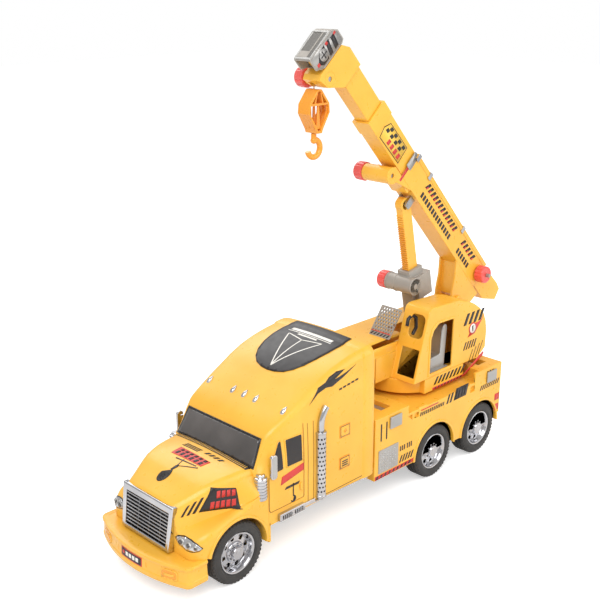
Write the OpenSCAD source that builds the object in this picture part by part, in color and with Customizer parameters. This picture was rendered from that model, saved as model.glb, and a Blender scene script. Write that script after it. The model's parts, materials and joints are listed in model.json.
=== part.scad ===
// Toy crane truck: a conventional-cab lorry with a slewing, luffing, telescoping crane.
// The truck's front faces -Y and its left side faces +X. Millimetres throughout.

/* [Truck] */
// Distance from the front axle to the first rear axle
rear_axle_1 = 348; // [340:1:354]
// Distance from the front axle to the second rear axle
rear_axle_2 = 449; // [444:1:453]
// Half of the truck's overall body width
half_w = 80; // [79:0.5:84]
// Roof height at the rear of the sleeper
roof_h = 224; // [210:1:240]
// Height of the crane deck's side rail
deck_h = 112; // [108:0.5:113]

/* [Wheels] */
// Outside radius of a tyre
tyre_r = 37; // [33:0.5:38]
// Width of a tyre
tyre_w = 24; // [18:0.5:25]
// Outside radius of a wheel rim
rim_r = 24.8; // [20:0.2:27]
// Radius of a wheel axle
axle_r = 2.5; // [2:0.1:3.2]

/* [Crane] */
// Distance from the front axle to the slewing axis
slew_y = 375; // [372:1:378]
// Radius of the turntable disc
table_r = 62; // [58:1:64]
// Elevation of the boom as it stands
boom_elev = 47.3; // [46:0.1:49]
// Length of the outer boom section in front of the luffing pivot
stage_1_l = 231; // [226:1:246]
// How far the middle section stands out of the outer one
stage_2_out = 100; // [90:1:110]
// How far the inner section stands out of the middle one
stage_3_out = 69; // [60:1:80]
// Wall thickness of the plastic shells
wall = 2; // [1.6:0.1:2.2]
// Free length of the hoist line between the winch tube and the hook block
line_l = 12; // [11:1:30]

/* [Fits] */
// Gap between parts that slide or swing past each other
gap = 0.35; // [0.3:0.05:0.5]
// Radial clearance of a running shaft
run = 0.05; // [0.03:0.01:0.09]

/* [Hidden] */

$fn = 48;
eps = 0.01;
YELLOW = [0.96, 0.70, 0.12];
AMBER = [0.93, 0.58, 0.10];
RED = [0.86, 0.16, 0.16];
GREY = [0.52, 0.50, 0.48];
DARK = [0.16, 0.16, 0.17];
CHROME = [0.85, 0.86, 0.88];
STEEL = [0.66, 0.67, 0.69];

// The frame's origin lies on the ground under the middle of the overall length.
overall_mid_y = 245.53;
axles = [0, rear_axle_1, rear_axle_2];
frame_top = 47;
frame_w = 46;
screw_y = [30, 160, 290, 398];
screw_r = 1.5;
nose_z = 49;
stack_y = 127.5;
mirror_y = 51;
mirror_z = 125;
hood_w = half_w - 6;
wheel_in = half_w - tyre_w;
arch_r = tyre_r + 4.5;

// Deck and turntable levels
deck_front = 226;
deck_rear = 497;
deck_top = deck_h - 2;
block_top = 124;
table_z = 115;
table_top = 135;
hood_z = 188;
cab_in = 22;

// Outriggers: beam section, positions and height
rig_y = [264, 472];
rig_w = 18;
rig_z = 104;
rig_h = 12;
rig_in = 24;
rig_open = 64;

// Luffing pivot, boom section heights above the pivot line and half widths
pivot_y = 474;
pivot_z = 203;
pin_r = 3;
s1_v = [36.5, 77];
s1_w = 15;
s2_v = [s1_v[0] + wall + gap, s1_v[1] - wall - gap];
s2_w = s1_w - wall - gap;
s3_v = [s2_v[0] + wall + gap, s2_v[1] - wall - gap];
s3_w = s2_w - wall - gap;
s1_end = stage_1_l;
s2_end = s1_end + stage_2_out;
s3_end = s2_end + stage_3_out;
s1_start = -13;
s2_start = s1_end - 112;
s3_start = s2_end - 104;

// Jack: trunnion inside the crane body, top pin under the boom
trunnion_y = 408;
trunnion_z = 150;
jack_pin_u = 189;
jack_pin_v = 24;
jack_pin_y = pivot_y - jack_pin_u * cos(boom_elev) + jack_pin_v * sin(boom_elev);
jack_pin_z = pivot_z + jack_pin_u * sin(boom_elev) + jack_pin_v * cos(boom_elev);
jack_tilt = atan2(trunnion_y - jack_pin_y, jack_pin_z - trunnion_z);
jack_len = norm([trunnion_y - jack_pin_y, jack_pin_z - trunnion_z]);
drive_z = 104;
rack_hw = 9.5;
rack_ht = 5.4;
pinion_r = 5;
drive_y = -rack_hw - pinion_r - 0.5;
lost_motion = 3.6;
guard_l = 44;

// Control knobs and the cross tubes that carry them
knob_r = 12.3;
knob_l = 14;
jack_tube_r = 11.5;
jack_tube_x = 25;
ext_tube_r = 10.8;
ext_tube_x = 28;
hoist_tube_r = 8.2;
hoist_tube_x = 20;

// Drives on the boom, as distance along it and height above the pivot line
ext_u = s1_end + 18;
ext_v = s1_v[0] - 11.5;
foot_u = -8;
foot_v = 56;
hoist_u = s3_end + 19;
hoist_v = 27;
head_pin_u = s3_end + 44;
head_pin_v = 38;
head_w = 12.8;
hook_y = pivot_y - hoist_u * cos(boom_elev) + hoist_v * sin(boom_elev);
hook_z = pivot_z + hoist_u * sin(boom_elev) + hoist_v * cos(boom_elev);
drum_r = 4.5;
line_x = -7;
line_y = hook_y - drum_r - 0.8;
line_low = hook_z - line_l;
block_h = 50;
block_t = 9.5;
hook_r = 10.2;
hook_t = 3.5;
block_low = line_low - block_h;
swivel_r = 1.8;

// ---------- frames and shared shapes ----------

module truck() translate([0, -overall_mid_y, 0]) children();
module boom() truck() translate([0, pivot_y, pivot_z]) rotate([-boom_elev, 0, 0]) children();
module jack() truck() translate([0, trunnion_y, trunnion_z]) rotate([jack_tilt, 0, 0]) children();
module both_sides() {
    children();
    mirror([1, 0, 0]) children();
}

// A box from its low corner to its high corner
module span(a, b) translate(a) cube(b - a);

// A box in boom coordinates: half width, range along the boom, range above the pivot line
module boom_box(w, u, v) span([-w, -u[1], v[0]], [w, -u[0], v[1]]);

// A cylinder along X between two stations
module x_rod(r, x0, x1, y = 0, z = 0) translate([x0, y, z]) rotate([0, 90, 0]) cylinder(r = r, h = x1 - x0);

// An outline drawn in Y and Z, extruded along X between two stations
module x_plate(x0, x1) translate([x0, 0, 0]) rotate([90, 0, 90]) linear_extrude(height = x1 - x0) children();

// A rectangle with true round corners
module round_rect(w, h, r) {
    square([w - 2 * r, h], center = true);
    square([w, h - 2 * r], center = true);
    for (x = [-1, 1], y = [-1, 1]) translate([x * (w / 2 - r), y * (h / 2 - r)]) circle(r = r);
}

// A fluted control knob along X, open face towards -X when turned
module knob(r, l, flutes = 12) difference() {
    union() {
        x_rod(r, 0, l - 1.2);
        x_rod(r - 1, 0, l);
    }
    for (i = [0 : flutes - 1]) rotate([i * 360 / flutes, 0, 0]) x_rod(0.9, -eps, l - 3, 0, r + 0.3);
}

// ---------- underframe ----------

module chassis() color(DARK) truck() difference() {
    union() {
        span([-frame_w, -52, frame_top - 3], [frame_w, 488, frame_top]);
        for (s = [-1, 1]) span([s * 40 - 3, -52, 28], [s * 40 + 3, 488, frame_top - 2]);
        for (y = [-52, 90, 225, 410, 484]) span([-40, y, 34], [40, y + 4, frame_top - 2]);
        for (y = axles) both_sides() x_rod(6, 37, 50, y, tyre_r);
        translate([0, slew_y, 44]) cylinder(r = 14, h = 12);
    }
    for (y = axles) x_rod(axle_r + run, -60, 60, y, tyre_r);
    translate([0, slew_y, 40]) cylinder(r = 4.2, h = 30);
    screw_places() cylinder_step(40, 50, screw_r + run);
}

module screw_places() both_sides() for (y = screw_y) translate([28, y, 0]) children();

module chassis_screws() color(STEEL) truck() screw_places() {
    cylinder_step(42, frame_top - 3, 3.2);
    cylinder_step(43, frame_top + 8, screw_r);
}

module axle_at(y) color(STEEL) truck() x_rod(axle_r, -half_w + 4, half_w - 4, y, tyre_r);
module front_axle() axle_at(axles[0]);
module middle_axle() axle_at(axles[1]);
module rear_axle() axle_at(axles[2]);

module tyre_pair(y) color(DARK) truck() both_sides()
    translate([wheel_in, y, tyre_r]) rotate([0, 90, 0]) rotate_extrude($fn = 96) polygon([
        [rim_r - 2, 0], [tyre_r - 4, 0], [tyre_r - 1, 1], [tyre_r, 4],
        [tyre_r, tyre_w - 4], [tyre_r - 1, tyre_w - 1], [tyre_r - 3, tyre_w],
        [rim_r + 1, tyre_w - 0.6], [rim_r, tyre_w - 3], [rim_r - 2, tyre_w - 3]
    ]);
module front_tyres() tyre_pair(axles[0]);
module middle_tyres() tyre_pair(axles[1]);
module rear_tyres() tyre_pair(axles[2]);

module rim_pair(y) color(CHROME) truck() both_sides()
    translate([wheel_in, y, tyre_r]) rotate([0, 90, 0]) difference() {
        rotate_extrude($fn = 96) polygon([
            [axle_r, 2], [9, 2], [9, tyre_w - 12], [rim_r - 5, tyre_w - 10], [rim_r - 4, 1],
            [rim_r - 2, 1], [rim_r - 2, tyre_w - 3], [rim_r - 0.6, tyre_w - 3],
            [rim_r - 1.2, tyre_w - 1], [rim_r - 4, tyre_w - 3], [rim_r - 6, tyre_w - 7],
            [11, tyre_w - 8], [10, tyre_w - 3], [7, tyre_w - 1.5], [0, tyre_w - 1.5],
            [0, tyre_w - 4], [axle_r, tyre_w - 4]
        ]);
        for (i = [0 : 7]) rotate([0, 0, i * 45]) translate([15.5, 0, 0]) cylinder(r = 2.6, h = tyre_w);
    }
module front_rims() rim_pair(axles[0]);
module middle_rims() rim_pair(axles[1]);
module rear_rims() rim_pair(axles[2]);

// ---------- cab ----------

// A slab across the cab: station, half width low, half width high, low and high edges, edge radius
module slab(y, wl, wh, z0, z1, r = 5) translate([0, y, 0]) rotate([90, 0, 0])
    linear_extrude(height = 0.5) hull() {
        for (s = [-1, 1]) {
            translate([s * (wl - 1), z0 + 1]) circle(r = 1, $fn = 16);
            translate([s * (wh - r), z1 - r]) circle(r = r, $fn = 32);
        }
    }

module cab_solid(t) {
    hull() {
        slab(-57 + t, 46 - t, 46 - t, nose_z, 103 - t, 6);
        slab(-22, 60 - t, 56 - t, nose_z, 115.5 - t, 8);
        slab(33, 70 - t, 69 - t, nose_z, 121 - t, 8);
    }
    hull() {
        slab(33, hood_w - t, 69 - t, 60, 121 - t, 8);
        slab(58, half_w - t, 68 - t, 60, 160 - t, 8);
        slab(80, half_w - t, 70 - t, 60, 172 - t, 9);
    }
    hull() {
        slab(58 + t, half_w - t, half_w - t, 36, 112, 3);
        slab(220 - t, half_w - t, half_w - t, 36, 112, 3);
    }
    hull() {
        slab(60 + t, half_w - t, 70 - t, 100, 160 - t, 9);
        slab(107, half_w - t, 72 - t, 100, 184 - t, 10);
    }
    hull() {
        slab(106, half_w - t, 72 - t, 100, 184 - t, 10);
        slab(160, half_w - t, 75 - t, 100, 208 - t, 12);
        slab(220 - t, half_w - t, 76 - t, 100, roof_h - 6 - t, 12);
    }
    hull() {
        slab(100, 40 - t, 34 - t, 150, 183 - t, 8);
        slab(216 - t, 52 - t, 46 - t, 150, roof_h - t, 10);
    }
}

module fender_solid(t) both_sides() hull() {
    span([44, -60 + t, nose_z], [60, 57, 84 - t]);
    span([44, -44 + t, nose_z], [half_w - t, 57, 72 - t]);
    translate([half_w - 10 - t, -46 + t, nose_z]) cylinder(r = 10, h = 30 - t, $fn = 32);
    translate([70 - t, -10, 80 - t]) rotate([-90, 0, 0]) cylinder(r = 10, h = 66, $fn = 32);
}

module cab_shell() color(YELLOW) truck() difference() {
    union() {
        cab_solid(0);
        fender_solid(0);
    }
    difference() {
        translate([0, 0, -eps]) union() {
            cab_solid(2.2);
            fender_solid(2.2);
        }
        both_sides() x_rod(arch_r + 2.2, 47, half_w, 0, tyre_r);
        // two cross ribs take the screws from the underframe
        for (y = [screw_y[0], screw_y[1]]) span([-half_w, y - 4, 40], [half_w, y + 4, 80]);
    }
    span([-frame_w - 1, -70, 20], [frame_w + 1, 225, frame_top]);
    screw_places() cylinder_step(frame_top - 1, frame_top + 9, screw_r + run);
    both_sides() translate([half_w - 8, 38, 90.95]) cylinder(r = 7.05, h = 40);
    both_sides() x_rod(arch_r, 49.2, half_w + 1, 0, tyre_r);
    both_sides() span([49, 0, 20], [half_w + 1, 57 + eps, 34.5]);
    // pockets for the screen, the side glass and the roof panel
    windshield_solid(0.15);
    side_window_solid(0.15);
}

module windshield_solid(g) hull() both_sides() for (p = [[63, 32.2, 124], [60, 51, 153]])
    translate([p[0] - 2, p[1] + 1.6, p[2]]) rotate([90 - 31, 0, 0]) cylinder(r = 3.4 + g, h = 3.4, $fn = 24);

module windshield() color(DARK) truck() intersection() {
    windshield_solid(0);
    translate([0, -0.6, 0.2]) cab_solid(0);
}

module side_window_solid(g) both_sides() hull() for (p = [[58, 116], [97, 116], [97, 147], [70, 147], [58, 134]])
    x_rod(1.5 + g, 60, half_w + 1, p[0], p[1]);

module side_windows() color(DARK) truck() intersection() {
    side_window_solid(0);
    difference() {
        cab_solid(0.4);
        cab_solid(2.1);
    }
}

module bumper() color(YELLOW) truck() difference() {
    intersection() {
        translate([0, 96, 22]) cylinder(r = 184, h = 27, $fn = 160);
        span([-half_w, -90, 22], [half_w, -42, 49]);
    }
    translate([0, 99, 18]) cylinder(r = 178, h = 28, $fn = 160);
    span([-half_w + 3, -58.5, 20], [half_w - 3, -40, 46]);
    span([-frame_w - 3, -62, 40], [frame_w + 3, -30, 60]);
    both_sides() for (x = [24, 30, 44]) translate([x, -89, 36]) rotate([-90, 0, 0]) cylinder(r = 1.2, h = 14);
}

module number_plate() color(CHROME) truck() span([-19, -89.6, 31], [19, -88, 42]);

module grille() color(CHROME) truck() difference() {
    translate([0, -66, 51]) rotate([-7.6, 0, 0]) {
        difference() {
            span([-44, -2, 0], [44, 12, 52]);
            span([-38, -3, 5], [38, 3.5, 47]);
        }
        for (i = [0 : 8]) span([-38.5, -0.5, 6.4 + i * 4.4], [38.5, 4, 8.6 + i * 4.4]);
    }
    span([-50, -57.5, 40], [50, -20, 120]);
    span([-50, -80, 40], [50, -20, nose_z + 0.4]);
}

module headlights() color(CHROME) truck() both_sides() difference() {
    hull() {
        translate([56, -62.5, 66]) sphere(r = 4.5, $fn = 24);
        translate([58, -62, 72]) sphere(r = 4, $fn = 24);
        translate([72, -52.5, 62]) sphere(r = 4, $fn = 24);
    }
    fender_solid(0);
    cab_solid(0);
}

module marker_lights() color(CHROME) truck() difference() {
    for (x = [-64, -19.6, 0, 19.6, 64])
        translate([x, 83, abs(x) > 30 ? 172.6 : 174.2]) rotate([24, 0, 0]) hull() {
            sphere(r = 2.6, $fn = 20);
            translate([0, 9, -0.4]) sphere(r = 1.4, $fn = 20);
        }
    cab_solid(0);
}

module roof_panel() color(DARK) truck() intersection() {
    hull() {
        translate([0, 128, 100]) cylinder(r = 20, h = 140, $fn = 48);
        both_sides() translate([40, 204, 100]) cylinder(r = 6, h = 140, $fn = 24);
    }
    difference() {
        translate([0, 0, 0.9]) cab_solid(0);
        cab_solid(-0.02);
    }
}

module exhaust_stacks() color(CHROME) truck() both_sides() translate([half_w, stack_y, 0]) difference() {
    union() {
        translate([1, 0, 0]) {
            cylinder_step(62, 139, 7);
            cylinder_step(56, 62.5, 4);
            cylinder_step(138.5, 158, 4);
        }
        translate([1, 0, 158]) sphere(r = 4);
        translate([1, 0, 158]) rotate([-32, 0, 0]) cylinder(r = 4, h = 16);
    }
    span([-10, -20, 40], [0, 30, 200]);
}
module cylinder_step(z0, z1, r) translate([0, 0, z0]) cylinder(r = r, h = z1 - z0);

module mirrors() color(CHROME) truck() both_sides() {
    x_plate(half_w + 1, half_w + 4) translate([mirror_y, mirror_z]) round_rect(8, 26, 2.5);
    for (z = [-9, 9]) span([68, mirror_y - 1, mirror_z + z - 1], [half_w + 2, mirror_y + 1, mirror_z + z + 1]);
}

module air_cleaners() color(CHROME) truck() both_sides() translate([hood_w - 2, 38, 0]) {
    translate([0, 0, 91]) cylinder(r = 7, h = 26);
    translate([0, 0, 117]) cylinder(r = 4.5, h = 4);
}

module cab_steps() color(CHROME) truck() both_sides() {
    span([half_w, 58, 50], [half_w + 4, 100, 54]);
    span([half_w, 58, 60], [half_w + 3, 100, 63]);
}

module side_trims() color(CHROME) truck() both_sides() {
    span([half_w, 110, 49], [half_w + 1, 206, 51.5]);
    for (z = [66, 92]) difference() {
        span([half_w, 152, z], [half_w + 0.8, 166, z + 14]);
        span([half_w - 1, 154, z + 2], [half_w + 2, 164, z + 12]);
    }
}

// ---------- crane deck ----------

module deck_outline() difference() {
    polygon([
        [deck_front, 38], [deck_front, block_top - 2], [291, block_top - 2], [291, 106],
        [298, 100], [312, 100], [312, deck_h], [424, deck_h], [424, 98], [434, 98],
        [434, block_top], [deck_rear, block_top], [deck_rear, 47], [491, 47], [491, 37], [304, 37]
    ]);
    for (y = [rear_axle_1, rear_axle_2]) translate([y, tyre_r]) circle(r = arch_r);
}

module crane_deck() color(YELLOW) truck() difference() {
    union() {
        both_sides() x_plate(half_w - 4, half_w) deck_outline();
        // front and rear blocks, the sunk bed between them and the wheel-arch roofs
        span([-half_w + 1, deck_front, 60], [half_w - 1, 291, block_top - 2]);
        span([-half_w + 1, 446, 82], [half_w - 1, deck_rear, block_top]);
        span([-half_w + 1, 290, deck_top - 4], [half_w - 1, 448, deck_top]);
        span([-half_w + 1, 493, 47], [half_w - 1, deck_rear, 90]);
        span([-half_w + 1, deck_front, 38], [half_w - 1, deck_front + 3, 70]);
        span([-half_w + 1, 300, 80], [half_w - 1, 304, deck_top - 1]);
        both_sides() span([half_w - 8, 296, 92], [half_w - 3.5, 314, deck_top - 1]);
        both_sides() span([half_w - 8, 421, 92], [half_w - 3.5, 437, deck_top - 1]);
        for (y = [screw_y[2], screw_y[3]]) span([-frame_w, y - 4, 40], [frame_w, y + 4, deck_top - 2]);
    }
    span([-frame_w - 1, 220, 20], [frame_w + 1, 500, frame_top]);
    screw_places() cylinder_step(frame_top - 1, frame_top + 9, screw_r + run);
    difference() {
        span([-half_w + 4, deck_front + 3, 20], [half_w - 4, 288, rig_z - 4]);
        span([-frame_w, screw_y[2] - 4, 40], [frame_w, screw_y[2] + 4, rig_z]);
    }
    span([-half_w + 4, 460, 20], [half_w - 4, 493, rig_z - 4]);
    // the turning crane body clears the rear block
    translate([0, slew_y, deck_top]) cylinder(r = 92, h = 30, $fn = 96);
    // outrigger tunnels
    for (y = rig_y) span([-half_w - 1, y - rig_w / 2 - gap, rig_z - gap],
                         [half_w + 1, y + rig_w / 2 + gap, rig_z + rig_h + gap]);
    for (y = rig_y) span([-rig_open, y - rig_w / 2 - gap, rig_z + 1],
                         [rig_open, y + rig_w / 2 + gap, block_top + 1]);
    translate([0, slew_y, 90]) cylinder(r = 8.4, h = 30);
}

module tread_plates() color(CHROME) truck() both_sides() {
    span([half_w, 233, 44], [half_w + 1, 271, 77]);
    span([half_w, 486, 106], [half_w + 1, deck_rear, block_top]);
}

module slew_pedestal() color(AMBER) truck() translate([0, slew_y, 0]) difference() {
    union() {
        cylinder_step(56, deck_top + 3.6, 8.2);
        cylinder_step(deck_top, deck_top + 3.6, 40);
        cylinder_step(deck_top, table_z + 8, 22);
    }
    cylinder_step(50, table_z + 9, 4.2);
}

module tail_lights() color(RED) truck() both_sides() {
    span([40, deck_rear, 60], [66, deck_rear + 2, 70]);
    span([70, deck_rear, 60], [76, deck_rear + 1.5, 70]);
}

module outrigger(side, y) color(GREY) truck() mirror([side < 0 ? 1 : 0, 0, 0]) {
    span([rig_in, y - rig_w / 2, rig_z], [half_w + 1, y + rig_w / 2, rig_z + rig_h]);
    span([half_w + 0.5, y - rig_w / 2 - 2, rig_z - 2], [half_w + 2.5, y + rig_w / 2 + 2, rig_z + rig_h + 2]);
}
module outrigger_front_left() outrigger(1, rig_y[0]);
module outrigger_front_right() outrigger(-1, rig_y[0]);
module outrigger_rear_left() outrigger(1, rig_y[1]);
module outrigger_rear_right() outrigger(-1, rig_y[1]);

// ---------- crane body ----------

module turntable() color(YELLOW) truck() difference() {
    union() {
        translate([0, slew_y, table_z]) cylinder(r = table_r, h = table_top - table_z, $fn = 96);
        span([cab_in - 2, 345, table_z], [62, 430, table_top]);
        span([-62, 372, table_z + 8], [cab_in, 430, table_top]);
    }
    translate([0, slew_y, table_z - 1]) cylinder(r = 22 + gap, h = 9 + 1 + gap);
    translate([0, slew_y, table_z + 9]) cylinder(r = 3.2, h = 30);
}

module slew_screw() color(STEEL) truck() translate([0, slew_y, 0]) {
    cylinder_step(table_top, table_top + 2.5, 7);
    cylinder_step(57, table_top + 1, 3.1);
    cylinder_step(36, 39.9, 9);
    cylinder_step(39, 60, 3.1);
}

// Side outline of the crane cab and its rear shell
module cab_outline() polygon([
    [322, table_top], [348, 226], [351, 230], [356, 232], [411, 230], [434, 224],
    [450, 216], [462, 208], [472, 198], [478, 186], [481, 170], [480, 146], [462, 134], [452, table_top]
]);

module crane_body() color(YELLOW) truck() difference() {
    union() {
        x_plate(cab_in, 62) cab_outline();
        // hood beside and in front of the cab
        translate([-20, 0, 0]) rotate([-90, 0, 0]) translate([0, 0, 280])
            linear_extrude(height = 201) translate([0, -160]) round_rect(84, 56, 12);
        span([-62, 290, table_top], [cab_in + 2, 470, 170]);
        // bearing lugs of the boom
        both_sides() {
            span([s1_w + gap, 462, 150], [s1_w + gap + 4, 481, pivot_z]);
            x_rod(9.5, s1_w + gap, s1_w + gap + 4, pivot_y - 2, pivot_z);
        }
    }
    // hollow under the hood and in the cab
    span([-60, 283, 120], [cab_in - 2, 478, hood_z - wall]);
    span([-64, 270, 120], [cab_in, 312, table_top + 4]);
    x_plate(cab_in + 0.1, 60) offset(delta = -wall) cab_outline();
    span([cab_in + 2, 330, table_top - 1], [60, 448, 150]);
    // door opening, side window of the engine wall and the two openings of the windscreen
    x_plate(58, 64) polygon([[354, 141], [401, 141], [402, 207], [370, 208], [359, 200], [354.5, 189]]);
    span([31, 310, 142], [58.5, 345, 178]);
    translate([46.5, 0, 0]) rotate([90, 0, 0]) translate([0, 0, -370]) linear_extrude(height = 60)
        translate([0, 207]) round_rect(23, 30, 7);
    // slot for the jack
    span([-13, 352, 160], [16, 430, hood_z + 1]);
    span([-s1_w - gap, 440, 160], [s1_w + gap, 482, hood_z + 1]);
    x_rod(pin_r + run, -30, cab_in + 3, pivot_y, pivot_z);
    both_sides() x_rod(3 + run, 8, 19, trunnion_y, trunnion_z);
}

module cab_interior() color(GREY) truck() {
    span([cab_in + 3, 330.5, table_top], [59, 398, table_top + 6]);
    span([30, 366, table_top + 5], [54, 396, table_top + 22]);
    translate([32, 390, table_top + 18]) rotate([-8, 0, 0]) span([0, 0, 0], [20, 7, 50]);
    translate([36, 346, table_top + 5]) cylinder(r = 1.6, h = 24);
    translate([36, 346, table_top + 27]) cylinder(r = 3, h = 5);
}

module guard_plate() color(GREY) truck() difference() {
    translate([0, 318, hood_z - 1]) rotate([-36, 0, 0]) difference() {
        span([-13, -1, 0], [cab_in - 1, 1, guard_l]);
        for (i = [0 : 6], k = [0 : 7]) translate([-9.5 + i * 4.4 + (k % 2) * 2.2, -3, 8 + k * 4.6])
            rotate([-90, 0, 0]) cylinder(r = 1.5, h = 6, $fn = 16);
    }
    span([-20, 300, hood_z - 5], [30, 330, hood_z]);
}

module boom_pivot_pin() color(STEEL) truck() {
    x_rod(pin_r, -21.5, 21.5, pivot_y, pivot_z);
    both_sides() x_rod(4.6, s1_w + gap + 4.05, 21.6, pivot_y, pivot_z);
}

module jack_trunnion() color(STEEL) truck() {
    x_rod(3, -17, 17, trunnion_y, trunnion_z);
    both_sides() span([12, trunnion_y - 8, table_top], [16, trunnion_y + 8, trunnion_z + 8]);
}

// ---------- jack ----------

module jack_housing() color(GREY) jack() difference() {
    union() {
        span([-9, -12, 0], [9, 12, 110]);
        x_rod(10, -9, 9);
        span([-10, -14, 108], [10, 14, 122]);
        span([-10, -4, 78], [15, 24, 111]);
        x_rod(jack_tube_r, -jack_tube_x, 20, drive_y, drive_z);
    }
    span([-rack_ht - gap, -rack_hw - gap, 10.5], [rack_ht + gap, rack_hw + gap, 123]);
    x_rod(3 + run, -20, 20);
    x_rod(3 + run, -jack_tube_x - 1, 21, drive_y, drive_z);
    x_rod(6.2, -8, 8, drive_y, drive_z);
}

module jack_rack() color(YELLOW) jack() difference() {
    union() {
        span([-rack_ht, -rack_hw + 1.4, 62], [rack_ht, rack_hw, jack_len]);
        x_rod(rack_hw, -rack_ht, rack_ht, 0, jack_len);
        for (z = [64 : 3.2 : jack_len - 14]) span([-rack_ht, -rack_hw, z], [rack_ht, -rack_hw + 2, z + 1.6]);
    }
    x_rod(2.4 + lost_motion, -rack_ht - 1, rack_ht + 1, 0, jack_len);
}

module jack_knob() jack() translate([0, drive_y, drive_z]) {
    color(RED) translate([-jack_tube_x - 0.4, 0, 0]) mirror([1, 0, 0]) knob(knob_r, knob_l);
    color(STEEL) x_rod(3, -jack_tube_x - 2, 19.4);
    color(STEEL) x_rod(pinion_r, -7.6, 7.6);
}

// ---------- boom ----------

module boom_tube(w, u, v, t) difference() {
    boom_box(w, u, v);
    boom_box(w - t, [u[0] - 1, u[1] + 1], [v[0] + t, v[1] - t]);
}

module boom_stage_1() color(YELLOW) boom() difference() {
    union() {
        boom_tube(s1_w, [s1_start, s1_end], s1_v, wall);
        // raised edge along the top, collar at the mouth and closed tail box
        boom_box(s1_w + 0.8, [s1_start, s1_end], [s1_v[1] - 7, s1_v[1] - wall]);
        boom_box(s1_w, [s1_start - 2, s1_start + wall], s1_v);
        x_plate(-13, 13) polygon([[15, 74], [15, 40], [52, 40], [80, 58], [76, 75], [64, 77]]);
    }
    boom_box(s1_w - wall, [s1_start + wall, s1_end + 1], [s1_v[0] + wall, s1_v[1] - wall]);
    x_rod(4 + run, -s1_w - 2, s1_w + 2, -foot_u, foot_v);
}

module boom_foot() color(YELLOW) boom() difference() {
    union() {
        both_sides() x_plate(s1_w - 3.2, s1_w) polygon([
            [12, s1_v[0]], [-50, s1_v[0]], [-34, 20], [-22, 2], [-13, -8], [-6, -12],
            [6, -13], [14, -11], [19, -4], [24, 12], [28, 20], [31, s1_v[0]]
        ]);
        both_sides() x_rod(13, s1_w - 3.2, s1_w);
        x_rod(6, -s1_w, s1_w);
        // cross web between the two cheeks
        x_plate(-s1_w + 1, s1_w - 1) polygon([
            [-44, s1_v[0]], [-30, 24], [-19, 10], [-10, 4], [-8, 6], [-16, 13], [-26, 26], [-39, s1_v[0]]
        ]);
    }
    x_rod(pin_r + run, -s1_w - 1, s1_w + 1);
}

module boom_end_rings() color(CHROME) boom() for (u = [s1_end - 7, 187, 71]) difference() {
    boom_box(s1_w + 1.7, [u, u + 6], [s1_v[1] - 9, s1_v[1] + 0.9]);
    boom_box(s1_w + 0.8, [u - 1, u + 7], [s1_v[1] - 10, s1_v[1]]);
}

module jack_top_pin() color(STEEL) boom() {
    x_rod(2.4, -rack_ht - 4.4, rack_ht + 4.4, -jack_pin_u, jack_pin_v);
    both_sides() x_plate(rack_ht + 1, rack_ht + 4) polygon([
        [-jack_pin_u - 5, s1_v[0]], [-jack_pin_u - 5, jack_pin_v], [-jack_pin_u - 3.5, jack_pin_v - 4],
        [-jack_pin_u + 3.5, jack_pin_v - 4], [-jack_pin_u + 5, jack_pin_v], [-jack_pin_u + 5, s1_v[0]]
    ]);
}

module extension_housing() color(YELLOW) boom() difference() {
    union() {
        x_rod(ext_tube_r, -ext_tube_x, s1_w, -ext_u, ext_v);
        // bracket that hangs the tube from the outer section
        boom_box(s1_w - 2, [s1_end - 24, ext_u], [s1_v[0] - 6, s1_v[0]]);
        both_sides() x_plate(s1_w - 3, s1_w) polygon([
            [-s1_end + 26, s1_v[0]], [-s1_end + 2, s1_v[0] - 9], [-ext_u, ext_v - 6], [-ext_u - 6, ext_v], [-ext_u - 4, s1_v[0]]
        ]);
    }
    x_rod(3 + run, -ext_tube_x - 1, s1_w + 1, -ext_u, ext_v);
    x_rod(6.5, -9, 9, -ext_u, ext_v);
}

module extension_knob() boom() translate([0, -ext_u, ext_v]) {
    color(RED) translate([-ext_tube_x - 0.4, 0, 0]) mirror([1, 0, 0]) knob(knob_r, knob_l);
    color(STEEL) x_rod(3, -ext_tube_x - 2, 13);
    color(STEEL) x_rod(5.4, -8.6, 8.6);
}

module foot_knob() boom() translate([0, -foot_u, foot_v]) color(RED) {
    translate([s1_w + 1.4, 0, 0]) knob(knob_r, knob_l);
    x_rod(5.5, s1_w + 0.5, s1_w + 1.6);
}

module foot_spindle() boom() translate([0, -foot_u, foot_v]) color(GREY) {
    x_rod(4, -s1_w + 1, s1_w + 0.5);
    x_rod(2.6, s1_w + 15.4, s1_w + 20);
}

module boom_stage_2() color(YELLOW) boom() union() {
    boom_tube(s2_w, [s2_start, s2_end], s2_v, wall);
    difference() {
        boom_box(s2_w + 1, [s2_end - 22, s2_end], [s2_v[0] - 1, s2_v[1] + 1]);
        boom_box(s2_w - 1, [s2_end - 23, s2_end + 1], [s2_v[0] + 1, s2_v[1] - 1]);
    }
}

module boom_stage_3() color(YELLOW) boom() {
    boom_tube(s3_w, [s3_start, s3_end], s3_v, wall);
    difference() {
        x_plate(-s3_w - 3.4, s3_w + 3.4) polygon([
            [-s3_end + 6, s3_v[1] + 1.4], [-s3_end + 6, s3_v[0] - 4], [-s3_end - 6, 26], [-s3_end - 14, 18],
            [-s3_end - 30, 14], [-s3_end - 33, 20], [-s3_end - 33, 66], [-s3_end - 22, s3_v[1] + 1.4]
        ]);
        boom_box(s3_w - 1, [s3_end - 8, s3_end + 34], [s3_v[0], s3_v[1] - 3]);
        x_rod(hoist_tube_r, -40, 40, -hoist_u, hoist_v);
        line_way();
    }
    // tongue that carries the head
    difference() {
        boom_box(9, [s3_end + 28, s3_end + 50], [30, 46]);
        x_rod(2.5, -20, 20, -head_pin_u, head_pin_v);
    }
}

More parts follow.
